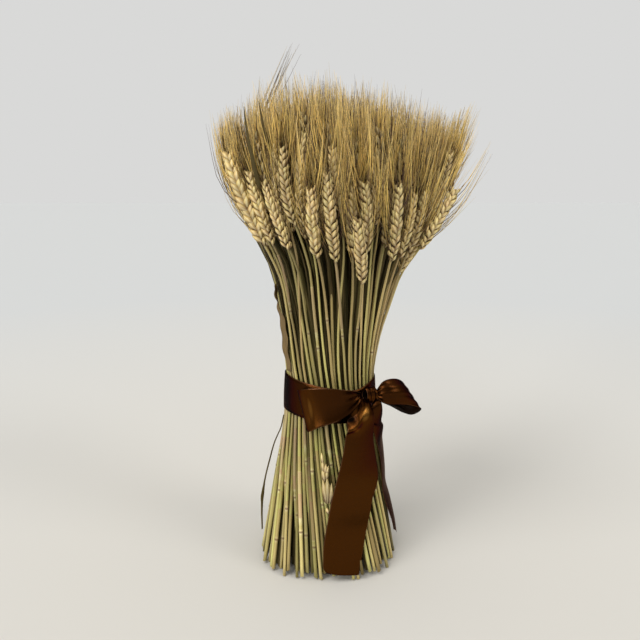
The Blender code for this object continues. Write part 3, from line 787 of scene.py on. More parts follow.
def straw_stations(path, foot, sizes, rng, spacing, joints, sheathed):
    """Stations up a straw: evenly spaced, with a joint's narrow ring where there is one."""
    def radius(length):
        """The straw's radius at a length."""
        return sizes.foot_radius + (sizes.neck_radius - sizes.foot_radius) * ease(length / foot) ** 0.8
    gauge = rng.uniform(0.84, 1.10)
    sheath = rng.uniform(*SHEATH_LENGTH) if sheathed else 0.0
    stations = []
    places = [path.length_at(height) for height in joints]
    for length in np.linspace(0.0, foot + INTO_EAR, max(int(foot / spacing), 4)):
        if all(abs(length - place) > JOINT_ROOM for place in places):
            wrapped = any(0 < length - place < sheath for place in places)
            width = radius(length) * gauge + SHEATH_THICKNESS * wrapped
            stations.append((length, width, 0.0, float(wrapped)))
    for place in places:
        for shift, swell, mark in JOINT_RINGS:
            stations.append((place + shift, radius(place) * gauge * swell, mark, 0.0))
        if sheath:
            end = place + sheath
            stations.append((end, radius(end) * gauge + SHEATH_LIP, 0.0, 1.0))
            stations.append((end + 0.0008, radius(end) * gauge, 0.0, 0.0))
    return [station for station in stations if station[0] <= foot + INTO_EAR + 0.0001]


def wandering(path, rng, amount):
    """The path with a slight natural bend to each side."""
    points = path.points.copy()
    share = (points[:, 2] - WANDER_FROM) / 0.3
    phase = rng.uniform(0, ROUND, 4)
    for axis in (0, 1):
        wave = np.sin(share * rng.uniform(5, 9) + phase[axis]) + 0.6 * np.sin(share * 17 + phase[axis + 2])
        points[:, axis] += amount * wave * ease(share * 3)
    return Path(points)


# ---------------------------------------------------------------- materials


BLACK = (0.0, 0.0, 0.0)
MM_PER_METRE = 1000.0


def node(tree, kind, **settings):
    """A new node with its plain settings."""
    made = tree.nodes.new(kind)
    for key, value in settings.items():
        setattr(made, key, value)
    return made


def feed(tree, socket, value):
    """Give an input another node's output, a colour or a number."""
    if isinstance(value, bpy.types.NodeSocket):
        tree.links.new(value, socket)
    elif hasattr(value, "__len__"):
        socket.default_value = (*value, 1.0)
    else:
        socket.default_value = value


def attribute(tree, name):
    """A number that the mesh carries."""
    return node(tree, "ShaderNodeAttribute", attribute_name=name).outputs["Fac"]


def reckoned(tree, operation, *values):
    """The result of a sum of outputs and numbers."""
    made = node(tree, "ShaderNodeMath", operation=operation)
    for place, value in enumerate(values):
        feed(tree, made.inputs[place], value)
    return made.outputs[0]


def mixed(tree, factor, first, second, blend="MIX"):
    """A colour mix whose sides are colours or outputs."""
    made = node(tree, "ShaderNodeMix", data_type="RGBA", blend_type=blend)
    for place, value in ((0, factor), (6, first), (7, second)):
        feed(tree, made.inputs[place], value)
    return made.outputs[2]


def ranged(tree, value, low, high, new_low, new_high):
    """A value moved from one range to another, held at the ends."""
    made = node(tree, "ShaderNodeMapRange")
    for label, number in (("Value", value), ("From Min", low), ("From Max", high), ("To Min", new_low),
                          ("To Max", new_high)):
        feed(tree, made.inputs[label], number)
    return made.outputs["Result"]


def coated(tree, base, *coats):
    """A colour under coats: what each goes by, from where to where, its share there, and its colour."""
    for value, low, high, start, end, colour in coats:
        base = mixed(tree, ranged(tree, value, low, high, start, end), base, colour)
    return base


def scaled(colour, share):
    """A colour made darker or lighter."""
    return tuple(share * part for part in colour)


def group_tree(name, inputs, outputs):
    """An empty shader group with named sockets: (kind, name, default) inputs, (kind, name) outputs."""
    tree = bpy.data.node_groups.new(name, "ShaderNodeTree")
    for kind, label, default in inputs:
        socket = tree.interface.new_socket(name=label, in_out="INPUT", socket_type=kind)
        if default is not None:
            socket.default_value = default
    for kind, label in outputs:
        tree.interface.new_socket(name=label, in_out="OUTPUT", socket_type=kind)
    return tree, tree.nodes.new("NodeGroupInput").outputs, tree.nodes.new("NodeGroupOutput").inputs


def fibre_group():
    """Fine fibres along a part, and blotches: reads the grain map, in metres."""
    tree, given, made = group_tree(
        "Dry fibres",
        [("NodeSocketFloat", "Fibres per mm", 3.0), ("NodeSocketFloat", "Length in mm", 8.0)],
        [("NodeSocketFloat", "Fibres"), ("NodeSocketFloat", "Blotches")],
    )
    grain, joined = node(tree, "ShaderNodeSeparateXYZ"), node(tree, "ShaderNodeCombineXYZ")
    feed(tree, grain.inputs[0], node(tree, "ShaderNodeUVMap", uv_map="Grain").outputs["UV"])
    wide, long = (reckoned(tree, "MULTIPLY", grain.outputs[axis], MM_PER_METRE) for axis in "XY")
    feed(tree, joined.inputs[0], reckoned(tree, "MULTIPLY", wide, given["Fibres per mm"]))
    feed(tree, joined.inputs[1], reckoned(tree, "DIVIDE", long, given["Length in mm"]))
    for label, scale, detail in (("Fibres", 1.0, 3.0), ("Blotches", 0.22, 2.0)):
        noise = node(tree, "ShaderNodeTexNoise")
        for key, value in (("Vector", joined.outputs[0]), ("Scale", scale), ("Detail", detail)):
            feed(tree, noise.inputs[key], value)
        feed(tree, made[label], noise.outputs["Fac"])
    return tree


def tone_group():
    """A colour made lighter or darker, and warmer or greener, by a part's own tone."""
    tree, given, made = group_tree(
        "Natural tone",
        [("NodeSocketColor", "Colour", None), ("NodeSocketFloat", "Spread", 0.4),
         ("NodeSocketFloat", "Hue spread", 0.03)],
        [("NodeSocketColor", "Colour"), ("NodeSocketFloat", "Tone")],
    )
    tone = attribute(tree, "tone")
    centred = reckoned(tree, "SUBTRACT", tone, 0.5)
    scattered = reckoned(tree, "FRACT", reckoned(tree, "MULTIPLY", tone, 7.31))
    off = reckoned(tree, "SUBTRACT", scattered, 0.5)
    shift = node(tree, "ShaderNodeHueSaturation")
    for label, value in (
        ("Hue", reckoned(tree, "MULTIPLY_ADD", off, given["Hue spread"], 0.5)),
        ("Value", reckoned(tree, "MULTIPLY_ADD", centred, given["Spread"], 1.0)),
        ("Color", given["Colour"]),
    ):
        feed(tree, shift.inputs[label], value)
    feed(tree, made["Colour"], shift.outputs["Color"])
    feed(tree, made["Tone"], tone)
    return tree


def use_group(tree, name, make, *values):
    """A shared group, made the first time, placed in a material with its own values."""
    made = node(tree, "ShaderNodeGroup", node_tree=bpy.data.node_groups.get(name) or make())
    for place, value in enumerate(values):
        feed(tree, made.inputs[place], value)
    return made.outputs


def fibres(tree, per_mm, length_mm):
    """The fibres and blotches of a part."""
    return use_group(tree, "Dry fibres", fibre_group, per_mm, length_mm)


def toned(tree, colour, spread, hue_spread):
    """A colour that varies from part to part, and the part's tone."""
    return use_group(tree, "Natural tone", tone_group, colour, spread, hue_spread)


def new_material(name, roughness, specular=0.5):
    """A material, its tree and its Principled shader."""
    material = bpy.data.materials.new(name)
    material.use_nodes = True
    tree = material.node_tree
    shader = tree.nodes["Principled BSDF"]
    shader.inputs["Roughness"].default_value = roughness
    shader.inputs["Specular IOR Level"].default_value = specular
    return material, tree, shader


def surface(tree, shader, colour, grain, smooth, rough, relief):
    """Give a shader its colour, and from its grain a range of roughness and fine relief, in metres."""
    feed(tree, shader.inputs["Base Color"], colour)
    feed(tree, shader.inputs["Roughness"], ranged(tree, grain, 0.3, 0.7, smooth, rough))
    made = node(tree, "ShaderNodeBump")
    for label, value in (("Strength", 1.0), ("Distance", relief), ("Height", grain)):
        feed(tree, made.inputs[label], value)
    feed(tree, shader.inputs["Normal"], made.outputs["Normal"])


def straw_material(colours, name="Straw", specular=0.42):
    """Glossy dry straw, greener low down, olive above, dark at joints; painted shade by ribbon and ears."""
    material, tree, shader = new_material(name, 0.36, specular)
    mark = attribute(tree, "mark")
    position = node(tree, "ShaderNodeSeparateXYZ")
    feed(tree, position.inputs[0], node(tree, "ShaderNodeNewGeometry").outputs["Position"])
    height = position.outputs["Z"]
    high = tuple(colours.straw_high)
    # Painted shade: the upper straw darkens under the ears.
    high = coated(tree, high, (height, 0.245, 0.310, 0.0, 0.50, scaled(high, 0.30)))
    # Painted shade: the straw is palest at its cut end and darker up to the ribbon.
    low = coated(tree, tuple(colours.straw_foot), (height, 0.02, 0.13, 0.0, 1.0, tuple(colours.straw_low)))
    collar = (mark, 0.05, 0.30, 0.0, 0.55, (0.74, 0.66, 0.38))
    sheath = (mark, 0.40, 0.50, 0.0, 0.75, (0.44, 0.30, 0.16))
    base = coated(tree, low, (height, 0.13, 0.26, 0.0, 1.0, high), collar, sheath)
    # The tone also paints the stems deep in the sheaf dark, as painted shade.
    base = toned(tree, base, 0.62, 0.045)["Colour"]
    grain = fibres(tree, 2.6, 9.0)
    streak = ranged(tree, grain["Fibres"], 0.35, 0.68, 0.0, 1.0)
    base = mixed(tree, streak, base, (0.62, 0.58, 0.40), "SOFT_LIGHT")
    blotch = (grain["Blotches"], 0.52, 0.75, 0.0, 0.5, (0.30, 0.21, 0.09))
    base = coated(tree, base, blotch, (mark, 0.62, 1.0, 0.0, 0.85, tuple(colours.joint)))
    surface(tree, shader, base, grain["Fibres"], 0.28, 0.50, 0.00012)
    return material


def shaded_straw_material(colours):
    """The same straw, dull: a shaded copy for the stems painted dark as shade deep in the sheaf."""
    return straw_material(colours, "Shaded_straw", 0.06)


def husk_material(colours):
    """Matt papery husks: roots and edges brown as painted shade, keel cream as painted highlight, golden tip.
    """
    material, tree, shader = new_material("Husk", 0.55, 0.4)
    along, keel, root = attribute(tree, "along"), attribute(tree, "mark"), tuple(colours.husk_root)
    # Painted shade at each husk's root and edges where husks overlap; a painted highlight on the keel.
    base = coated(
        tree, root,
        (along, 0.28, 0.68, 0.0, 1.0, tuple(colours.husk)),
        (along, 0.80, 1.0, 0.0, 0.6, tuple(colours.awn)),
        (keel, 0.45, 1.0, 0.0, 0.55, tuple(colours.husk_keel)),
        (keel, -0.02, 0.30, 0.26, 0.0, root),
    )
    grain = fibres(tree, 3.2, 6.0)["Fibres"]
    streak = ranged(tree, grain, 0.35, 0.65, 0.32, 0.68)
    base = mixed(tree, 0.60, toned(tree, base, 0.60, 0.018)["Colour"], streak, "OVERLAY")
    surface(tree, shader, base, grain, 0.42, 0.68, 0.00018)
    return material


def awn_material(colours):
    """Golden bristles, pale at the tip; brown roots and a few nearly black, partly painted shade."""
    material, tree, shader = new_material("Awn", 0.45, 0.45)
    along, dark = attribute(tree, "along"), tuple(colours.awn_dark)
    # Dark roots and nearly black awns: partly their own colour, partly painted shade deep in the beard.
    base = coated(
        tree, tuple(colours.awn),
        (along, 0.30, 1.0, 0.0, 1.0, tuple(colours.awn_tip)), (along, 0.06, 0.46, 0.92, 0.0, dark),
    )
    varied = toned(tree, base, 1.15, 0.014)
    base = coated(tree, varied["Colour"], (varied["Tone"], 0.03, 0.20, 0.85, 0.0, dark))
    feed(tree, shader.inputs["Base Color"], base)
    feed(tree, shader.inputs["Roughness"], ranged(tree, varied["Tone"], 0.0, 1.0, 0.38, 0.55))
    return material


def satin_material(colours):
    """Chocolate satin: smooth thread along it, a woven edge, a brown gloss, painted highlights and shade."""
    material, tree, shader = new_material("Chocolate_satin", 0.32)
    satin, along, threads = tuple(colours.satin), attribute(tree, "along"), fibres(tree, 0.6, 0.09)["Fibres"]
    base = coated(
        tree, satin,
        (fibres(tree, 0.35, 0.35)["Blotches"], 0.35, 0.65, 0.0, 0.30, scaled(satin, 0.72)),
        (threads, 0.45, 0.70, 0.0, 0.25, scaled(satin, 1.3)),
    )
    # Painted shade and light: each strip darker near its start and lighter further along it.
    start, end = mixed(tree, 0.20, base, BLACK), mixed(tree, 0.12, base, (0.16, 0.060, 0.004))
    base = coated(
        tree, start,
        (along, 0.20, 0.62, 0.0, 1.0, end),
        # Painted highlights on bright folds, then painted shade in the dark pocket.
        (along, 1.02, 1.55, 0.0, 0.60, (0.30, 0.135, 0.026)),
        (along, -0.75, -0.05, 0.90, 0.0, BLACK),
        (attribute(tree, "mark"), 0.950, 0.985, 0.0, 0.7, tuple(colours.satin_edge)),
    )
    for label, value in (("Metallic", 1.0), ("Specular Tint", (0.27, 0.12, 0.02)), ("Anisotropic", 0.45),
                         ("Coat Weight", 0.06), ("Coat Roughness", 0.25)):
        feed(tree, shader.inputs[label], value)
    across = node(tree, "ShaderNodeTangent", direction_type="UV_MAP", uv_map="Grain")
    feed(tree, shader.inputs["Tangent"], across.outputs["Tangent"])
    surface(tree, shader, base, threads, 0.22, 0.31, 0.00004)
    return material


def satin_reverse_material(colours):
    """The dull reverse of the satin, with the same threads; far darker, partly painted shade inside loops."""
    material, tree, shader = new_material("Satin_reverse", 0.62, 0.06)
    threads, dull = fibres(tree, 0.6, 0.09)["Fibres"], scaled(colours.satin, 0.14)
    base = coated(tree, dull, (threads, 0.40, 0.70, 0.0, 0.6, scaled(dull, 1.7)))
    surface(tree, shader, base, threads, 0.55, 0.72, 0.00004)
    return material


def leaf_material(colours):
    """Withered leaf: dark olive brown with pale veins along it."""
    material, tree, shader = new_material("Dry_leaf", 0.72, 0.25)
    grain = fibres(tree, 2.4, 14.0)["Fibres"]
    base = coated(tree, tuple(colours.leaf), (grain, 0.50, 0.72, 0.0, 0.55, (0.30, 0.22, 0.09)))
    surface(tree, shader, toned(tree, base, 0.7, 0.03)["Colour"], grain, 0.6, 0.85, 0.0002)
    return material


def floor_material(colours):
    """Plain pale floor, warm near the sheaf and plain further off."""
    material, tree, shader = new_material("Pale_floor", 0.9, 0.0)
    away = node(tree, "ShaderNodeVectorMath", operation="LENGTH")
    feed(tree, away.inputs[0], node(tree, "ShaderNodeNewGeometry").outputs["Position"])
    base = coated(tree, tuple(colours.floor), (away.outputs["Value"], 0.25, 1.6, 0.0, 1.0, FAR_FLOOR))
    feed(tree, shader.inputs["Base Color"], base)
    return material


MAKERS = {
    "Straw": straw_material, "Shaded_straw": shaded_straw_material, "Husk": husk_material,
    "Awn": awn_material, "Chocolate_satin": satin_material, "Satin_reverse": satin_reverse_material,
    "Dry_leaf": leaf_material, "Pale_floor": floor_material,
}


def material(name):
    """A material by its name, made the first time it is asked for."""
    return bpy.data.materials.get(name) or MAKERS[name](bpy.context.scene.sheaf_colours)


def satin_materials():
    """The shining face of the ribbon and its dull reverse."""
    return [material("Chocolate_satin"), material("Satin_reverse")]


def stalk_materials():
    """The finishes of a stalk: straw, husk, awn, and shaded straw for stems painted dark deep in the sheaf.
    """
    return [material("Straw"), material("Husk"), material("Awn"), material("Shaded_straw")]


# ---------------------------------------------------------------- stalks


# How much a stalk's tone changes above the ribbon, from left to right, as painted shade at the left
# and painted light at the right: side, then change; and the height at which its side is read.
SIDE_SHADE_TONE = ((-0.05, -0.32), (-0.01, -0.05), (0.03, 0.15))
UPPER_HEIGHT = 0.28
# The first random seed of the outer stalks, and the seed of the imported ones.
OUTER_SEED, PACKED_SEED = 100, 5
# Joints of an outer stalk: heights of a low and a high one, and the share of stalks that have each.
LOW_JOINT, LOW_JOINTED, HIGH_JOINT, HIGH_JOINTED = (0.030, 0.115), 0.95, (0.215, 0.27), 0.3
# The same for a packed stalk, and the lengths of its ear.
PACKED_JOINT, PACKED_JOINTED, PACKED_EAR = (0.03, 0.13), 0.9, (0.058, 0.066)
# Shares of outer and packed stalks with a leaf sheath, and how far each kind bends to and fro.
SHEATHED, PACKED_SHEATHED = 0.4, 0.3
WANDER, PACKED_WANDER = 0.0004, 0.0005
# Stations along a straw, and its sides: outer, first packed ring, plain.
OUTER_SPACING, FIRST_SPACING, PLAIN_SPACING = 0.011, 0.012, 0.03
OUTER_SIDES, FIRST_SIDES, PLAIN_SIDES = 10, 8, 6


class WHEAT_OT_outer_stalks(bpy.types.Operator):
    """Build the outer stalks, one piece for each"""

    bl_idname = "wheat.outer_stalks"
    bl_label = "Outer stalks"

    def execute(self, context):
        """Each stalk follows its own line in the frame."""
        sizes = context.scene.stalk_sizes
        for number, (name, (path, foot)) in enumerate(zip(STALK_NODES, MEASURED)):
            rng = np.random.default_rng(OUTER_SEED + number)
            path, foot, length = dressed_stalk(name, path, foot)
            path = wandering(path, rng, WANDER)
            joints = [rng.uniform(*LOW_JOINT)] if rng.uniform() < LOW_JOINTED else []
            if rng.uniform() < HIGH_JOINTED:
                joints.append(rng.uniform(*HIGH_JOINT))
            parts = Parts()
            sheathed = rng.uniform() < SHEATHED
            stations = straw_stations(path, foot, sizes, rng, OUTER_SPACING, joints, sheathed)
            tone = rng.uniform(-0.1, 0.9)
            side = path.at(path.length_at(UPPER_HEIGHT))[0]
            upper = tone + np.interp(side, *np.transpose(SIDE_SHADE_TONE))
            add_straw(parts, path, stations, OUTER_SIDES, tone, upper, rng)
            add_ear(parts, path, foot, length, sizes, rng, True, awned=THIN_BEARDS.get(name, 1.0),
                    roll=EAR_ROLLS.get(name), broad=BROAD_EARS.get(name, 1.0),
                    scatter=CLOSE_BEARDS.get(name, 1.0))
            piece = parts.build(f"wheat_{name}", stalk_materials())
            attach(piece, "root")
            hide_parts(name)
        return {"FINISHED"}


def rim(head):
    """How near to the rim a packed stalk's head is, from 0 to 1."""
    return ease((head - 0.4) / 0.5)


def packed_stalk(ring, place, rng):
    """The path of one packed stalk and where its ear starts."""
    waist, foot, head, count, ear, _ = ring
    angle = FLOW.first_angle + HALF_STALK + 2 * math.pi * (place + rng.uniform(-0.12, 0.12)) / count
    foot += rng.uniform(-0.05, 0.05) * min(waist * 4, 1)
    head += rng.uniform(-0.04, 0.04) * min(waist * 4, 1)
    heights = np.concatenate([[rng.uniform(0.0008, 0.006)], HEIGHTS[2:]])
    down = ease((WAIST - heights) / WAIST)
    heading = angle + FLOW.twist[-1]
    head *= 1.0 - HELD_BACK * np.clip(-np.sin(heading), 0.0, 1.0) * rim(head)
    head *= 1.0 + SIDE_SPREAD * np.cos(heading) ** 2 * rim(head)
    up = ease((heights - SPREAD_FROM) / (HEADS_FROM - SPREAD_FROM))
    share = waist + (foot - waist) * down + (head - waist) * up
    path = Path(straightened(FLOW.at(angle, share, heights)))
    return path, path.length_at(ear + rng.uniform(-0.014, 0.010))


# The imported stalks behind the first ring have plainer, thicker stems, thicker still above the
# ribbon: how much, how much more, from where and over what length.
PLAIN_GIRTH, UPPER_GIRTH, GIRTH_FROM, GIRTH_REACH = 1.22, 0.55, 0.20, 0.07
# The share of the first ring's stems painted dark as shade, and the scatter of its awns, from left to right.
SHADE_PAINTED_SHARE = ((-0.06, 0.86), (-0.01, 0.58))
SIDE_SCATTER = ((-0.085, 0.45), (-0.060, 1.0))
SIDE_HEIGHT = 0.34


class WHEAT_OT_packed_stalks(bpy.types.Operator):
    """Build the stalks packed inside the outer ones, a sector to a piece"""

    bl_idname = "wheat.packed_stalks"
    bl_label = "Packed stalks"

    def execute(self, context):
        """Ring by ring, each stalk goes to the sector it stands in."""
        sectors = [Parts() for _ in range(PACKED_GROUPS)]
        rng = np.random.default_rng(PACKED_SEED)
        for ring in PACKED_RINGS:
            for place in range(ring[3]):
                sector = sectors[int(place * PACKED_GROUPS / ring[3])]
                self.add_stalk(sector, ring, place, context.scene.stalk_sizes, rng)
        for number, sector in enumerate(sectors, start=1):
            piece = sector.build(f"packed_stalks_{number:02d}", stalk_materials())
            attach(piece, "root")
            if number == 1:
                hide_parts("inner_stalks")
        return {"FINISHED"}

    @staticmethod
    def add_stalk(sector, ring, place, sizes, rng):
        """One stalk: in full in the first ring, plainer behind it; those behind, and some in it, painted dark
        as shade.
        """
        detailed = ring[-1] == 1
        path, foot = packed_stalk(ring, place, rng)
        path = wandering(path, rng, PACKED_WANDER)
        length = rng.uniform(*PACKED_EAR)
        joints = [rng.uniform(*PACKED_JOINT)] if detailed and rng.uniform() < PACKED_JOINTED else []
        spacing = FIRST_SPACING if detailed else PLAIN_SPACING
        sheathed = rng.uniform() < PACKED_SHEATHED
        stations = straw_stations(path, foot, sizes, rng, spacing, joints, sheathed)
        if not detailed:
            stations = [
                (rise, radius * (PLAIN_GIRTH + UPPER_GIRTH * ease((rise - GIRTH_FROM) / GIRTH_REACH)), *marks)
                for rise, radius, *marks in stations]
        side = path.at(path.length_at(SIDE_HEIGHT))[0]
        # Painted shade: stems behind the first ring, and a share of it, go near black above the ribbon.
        painted_dark = not detailed or rng.uniform() < np.interp(side, *np.transpose(SHADE_PAINTED_SHARE))
        upper = rng.uniform(-1.05, -0.75) if painted_dark else rng.uniform(0.0, 0.7)
        # Painted shade: the first ring's lower tones run darker, between the outer stems.
        tone = rng.uniform(-0.75, 0.65) if detailed else upper
        sides = FIRST_SIDES if detailed else PLAIN_SIDES
        add_straw(sector, path, stations, sides, tone, upper, rng, SHADED_STRAW if painted_dark else STRAW)
        # Painted shade: the first ring's ears run a little darker and those behind it dark.
        add_ear(sector, path, foot, length, sizes, rng, detailed, fine=False, awned=0.85,
                shade=(0.05, 0.65) if detailed else (-0.7, -0.1),
                scatter=float(np.interp(side, *np.transpose(SIDE_SCATTER))))


# ---------------------------------------------------------------- ribbon


# Where across a strip its pleats start, and how far the end pleats reach.
PLEAT_START, END_PLEAT_REACH = 0.9, 0.22


def on_sheaf(degrees, radius, height):
    """A point round the sheaf's axis at a true angle."""
    return FLOW.level(math.radians(degrees), radius, height)


def band_radius(height):
    """How far the band lies from the axis: just outside the gathered stems."""
    return BAND_RADIUS * np.interp(height, HEIGHTS, FLOW.gather)


def run_lengths(run):
    """How far along a strip each of its rows is."""
    return np.concatenate(([0.0], np.cumsum(np.linalg.norm(run, axis=1))))[:len(run)]


def thickened(piece, name, thickness, **settings):
    """Give a sheet its thickness."""
    solid = piece.modifiers.new(name, "SOLIDIFY")
    solid.thickness = thickness
    for key, value in settings.items():
        setattr(solid, key, value)


def between_edges(edges, rows, closed):
    """A strip's two edges and its bulge, row by row, on smooth curves through their stations."""
    lines = [np.array([station[part] for station in edges]) for part in range(3)]
    if not closed:
        return [spline(line, rows) for line in lines]
    total = rows * (len(edges) + 2) // len(edges)
    start = total // (len(edges) + 2)
    return [spline(np.concatenate([line[-1:], line, line[:2]]), total)[start:start + rows] for line in lines]


def cloth(name, edges, sizes, rows, columns, closed=False, pleats=0.0, pleat_reach=0.2, pleat_count=3.0,
          end_pleats=0.0, extra=None, folds=()):
    """A strip of satin between two edges.

    edges is a list of (first edge point, second edge point, bulge) stations; the bulge lifts the
    middle of the strip away from its chord. Pleats gather it near its start, end pleats near its end.
    folds are the places of painted highlights and painted shade on folds: share along, place across,
    reach both ways and strength, below zero for painted shade.
    """
    first, second, bulge = between_edges(edges, rows, closed)
    across = np.linspace(-1.0, 1.0, columns)[None, :]
    share = np.linspace(0, 1, rows)[:, None]
    points = first[:, None] * (1 - across[..., None]) / 2 + second[:, None] * (1 + across[..., None]) / 2
    run = np.gradient(0.5 * (first + second), axis=0)
    normal = unit(np.cross(run, second - first))
    points = points + normal[:, None] * bulge[:, None, None] * (1 - across[..., None] ** 2)
    if pleats:
        depth = pleats * np.exp(-share / pleat_reach) + end_pleats * np.exp((share - 1.0) / END_PLEAT_REACH)
        wave = np.cos(np.pi * pleat_count * across + PLEAT_START)
        points = points + normal[:, None] * depth[..., None] * wave[..., None]
    if extra is not None:
        points = extra(points, across, share)
    start = slice(0, rows // 3)
    turned = np.sum(normal[start, None] * outward_from_axis(points[start])) > 0.0
    # Painted light: the along number is the share along, plus painted highlights and shade at folds.
    painted_light = np.broadcast_to(share, (rows, columns))
    for share_at, across_at, share_reach, across_reach, strength in folds:
        off = ((share - share_at) / share_reach) ** 2 + ((across - across_at) / across_reach) ** 2
        painted_light = painted_light + strength * np.exp(-off)
    parts = Parts()
    parts.add_sheet(points, (across + 1) / 2, painted_light, np.abs(across),
                    (across * sizes.width / 2, run_lengths(run)[:, None]), closed, turned)
    piece = parts.build(name, satin_materials())
    thickened(piece, "satin", sizes.thickness, offset=0.0, material_offset=1)
    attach(piece, "root")
    return piece


# The band: (true angle, height of its upper edge, height of its lower edge) round the waist.
BAND = (
    (-180, 0.1923, 0.1560), (-163, 0.1925, 0.1562), (-147.7, 0.1920, 0.1566), (-134.5, 0.1911, 0.1562),
    (-123.5, 0.1903, 0.1556), (-113, 0.1893, 0.1548), (-103, 0.1881, 0.1540), (-91, 0.1869, 0.1533),
    (-79, 0.1855, 0.1527), (-64, 0.1833, 0.1523), (-50, 0.1840, 0.1523), (-38, 0.1862, 0.1520),
    (-25, 0.1878, 0.1516), (-5, 0.1886, 0.1515), (30, 0.1895, 0.1519), (70, 0.1903, 0.1525),
    (110, 0.1911, 0.1533), (145, 0.1918, 0.1546),
)
# The band's distance from the axis before the stems are gathered, and the knot's true angle.
BAND_RADIUS, KNOT_ANGLE = 0.0463, -47.0
# The front tail's painted highlights on its folds and painted shade in its pocket, and the left
# loop's painted highlight band: see cloth.
TAIL_PAINTED_LIGHT = (
    (0.130, 0.05, 0.085, 0.60, 1.6), (0.186, -1.02, 0.036, 0.40, -1.8), (0.262, -0.45, 0.034, 0.45, 1.1),
)
LOOP_PAINTED_HIGHLIGHT = ((0.400, 0.0, 0.050, 0.9, 0.95),)

# The left loop, out over the band and back under itself: (true angle and height of its upper edge,
# angle and height of its lower edge, distance from the axis).
LEFT_LOOP = (
    (-58.2, 0.1833, -57.6, 0.1769, 0.0530), (-65.8, 0.1860, -62.0, 0.1715, 0.0540),
    (-76.6, 0.1883, -71.7, 0.1639, 0.0550), (-89.1, 0.1901, -83.4, 0.1586, 0.0556),
    (-101.4, 0.1901, -94.5, 0.1548, 0.0558), (-111.4, 0.1889, -103.0, 0.1510, 0.0553),
    (-118.5, 0.1872, -108.5, 0.1477, 0.0541), (-124.5, 0.1853, -111.9, 0.1458, 0.0523),
    (-128.6, 0.1835, -114.4, 0.1452, 0.0502), (-127.3, 0.1834, -113.4, 0.1453, 0.0484),
    (-116.6, 0.1854, -107.2, 0.1482, 0.0476), (-100.0, 0.1867, -94.0, 0.1533, 0.0474),
    (-82.1, 0.1863, -79.6, 0.1580, 0.0474), (-68.2, 0.1840, -68.4, 0.1641, 0.0478),
    (-58.9, 0.1818, -60.3, 0.1722, 0.0490),
)
# The right loop, out to its fold and back: a point on its lower edge, one on its upper edge, and
# how far its middle swells.
RIGHT_LOOP = (
    ((0.0456, -0.0395, 0.1756), (0.0450, -0.0395, 0.1849), 0.0),
    ((0.0518, -0.0405, 0.1713), (0.0500, -0.0386, 0.1916), 0.0026),
    ((0.0593, -0.0398, 0.1701), (0.0565, -0.0350, 0.1932), 0.0042),
    ((0.0673, -0.0366, 0.1690), (0.0639, -0.0289, 0.1917), 0.0048),
    ((0.0776, -0.0307, 0.1662), (0.0694, -0.0233, 0.1881), 0.0034),
    ((0.0894, -0.0212, 0.1596), (0.0725, -0.0182, 0.1836), 0.0),
    ((0.0881, -0.0120, 0.1523), (0.0718, -0.0152, 0.1822), -0.0020),
    ((0.0819, -0.0080, 0.1484), (0.0685, -0.0140, 0.1823), -0.0040),
    ((0.0737, -0.0100, 0.1516), (0.0635, -0.0158, 0.1824), -0.0040),
    ((0.0624, -0.0210, 0.1610), (0.0568, -0.0240, 0.1836), -0.0020),
    ((0.0498, -0.0300, 0.1690), (0.0495, -0.0310, 0.1818), 0.0),
)
# The front tail where it stands away from the stems: (true angle and height of its left edge, of
# its right edge, distance from the axis), then where it lies close to them.
TAIL_AWAY = (
    (-59.7, 0.1778, -50.4, 0.1761, 0.0556), (-64.9, 0.1722, -52.6, 0.1715, 0.0612),
    (-70.6, 0.1668, -53.2, 0.1659, 0.0654), (-75.6, 0.1614, -53.2, 0.1590, 0.0670),
    (-76.9, 0.1543, -52.6, 0.1516, 0.0664), (-77.2, 0.1437, -50.3, 0.1412, 0.0646),
    (-77.2, 0.1310, -45.0, 0.1268, 0.0626), (-78.4, 0.1160, -37.8, 0.1090, 0.0610),
)
TAIL_CLOSE = (
    (-80.2, 0.1044, -34.6, 0.0961), (-82.4, 0.0950, -37.4, 0.0873), (-85.7, 0.0819, -44.4, 0.0757),
    (-88.5, 0.0686, -49.7, 0.0636), (-91.8, 0.0531, -56.5, 0.0498), (-93.8, 0.0371, -60.6, 0.0347),
    (-93.8, 0.0228, -63.8, 0.0191), (-94.3, 0.0106, -66.6, 0.0060),
)
# The back tail, laid out in the same way.
BACK_TAIL_AWAY = (
    (-41.0, 0.1751, -37.2, 0.1753, 0.0545), (-46.0, 0.1705, -35.0, 0.1701, 0.0560),
    (-49.0, 0.1634, -29.0, 0.1594, 0.0560), (-47.0, 0.1548, -24.0, 0.1502, 0.0540),
    (-39.5, 0.1448, -12.0, 0.1405, 0.0530),
)
BACK_TAIL_CLOSE = (
    (-29.0, 0.1226, 4.0, 0.1200), (-26.0, 0.1058, 9.0, 0.1040), (-26.4, 0.0916, 9.0, 0.0890),
    (-25.5, 0.0749, 10.0, 0.0715), (-24.8, 0.0602, 8.0, 0.0535), (-22.0, 0.0440, 4.0, 0.0330),
    (-19.5, 0.0325, 0.5, 0.0170),
)
# A tail's gap from the stems where it lies close to them: everywhere, then more near the floor
# and more where it comes away from them, as how much, at what height and over what reach.
TAIL_GAP, FLOOR_GAP, AWAY_GAP = 0.0042, (0.0030, 0.070, 0.05), (0.0034, 0.068, 0.036)

# The pocket under the knot: its middle and its half size round the sheaf, in degrees, and in
# height, how square it is and how deep; then the lip round it: how far out, how wide, how high.
POCKET_ANGLE, POCKET_HALF_ANGLE, POCKET_HEIGHT, POCKET_HALF_HEIGHT = -78.0, 5.8, 0.1628, 0.0056
POCKET_SHARPNESS, POCKET_DEPTH = 2.3, 0.0078
LIP_AT, LIP_WIDTH, LIP_RISE = 1.65, 0.55, 0.0030
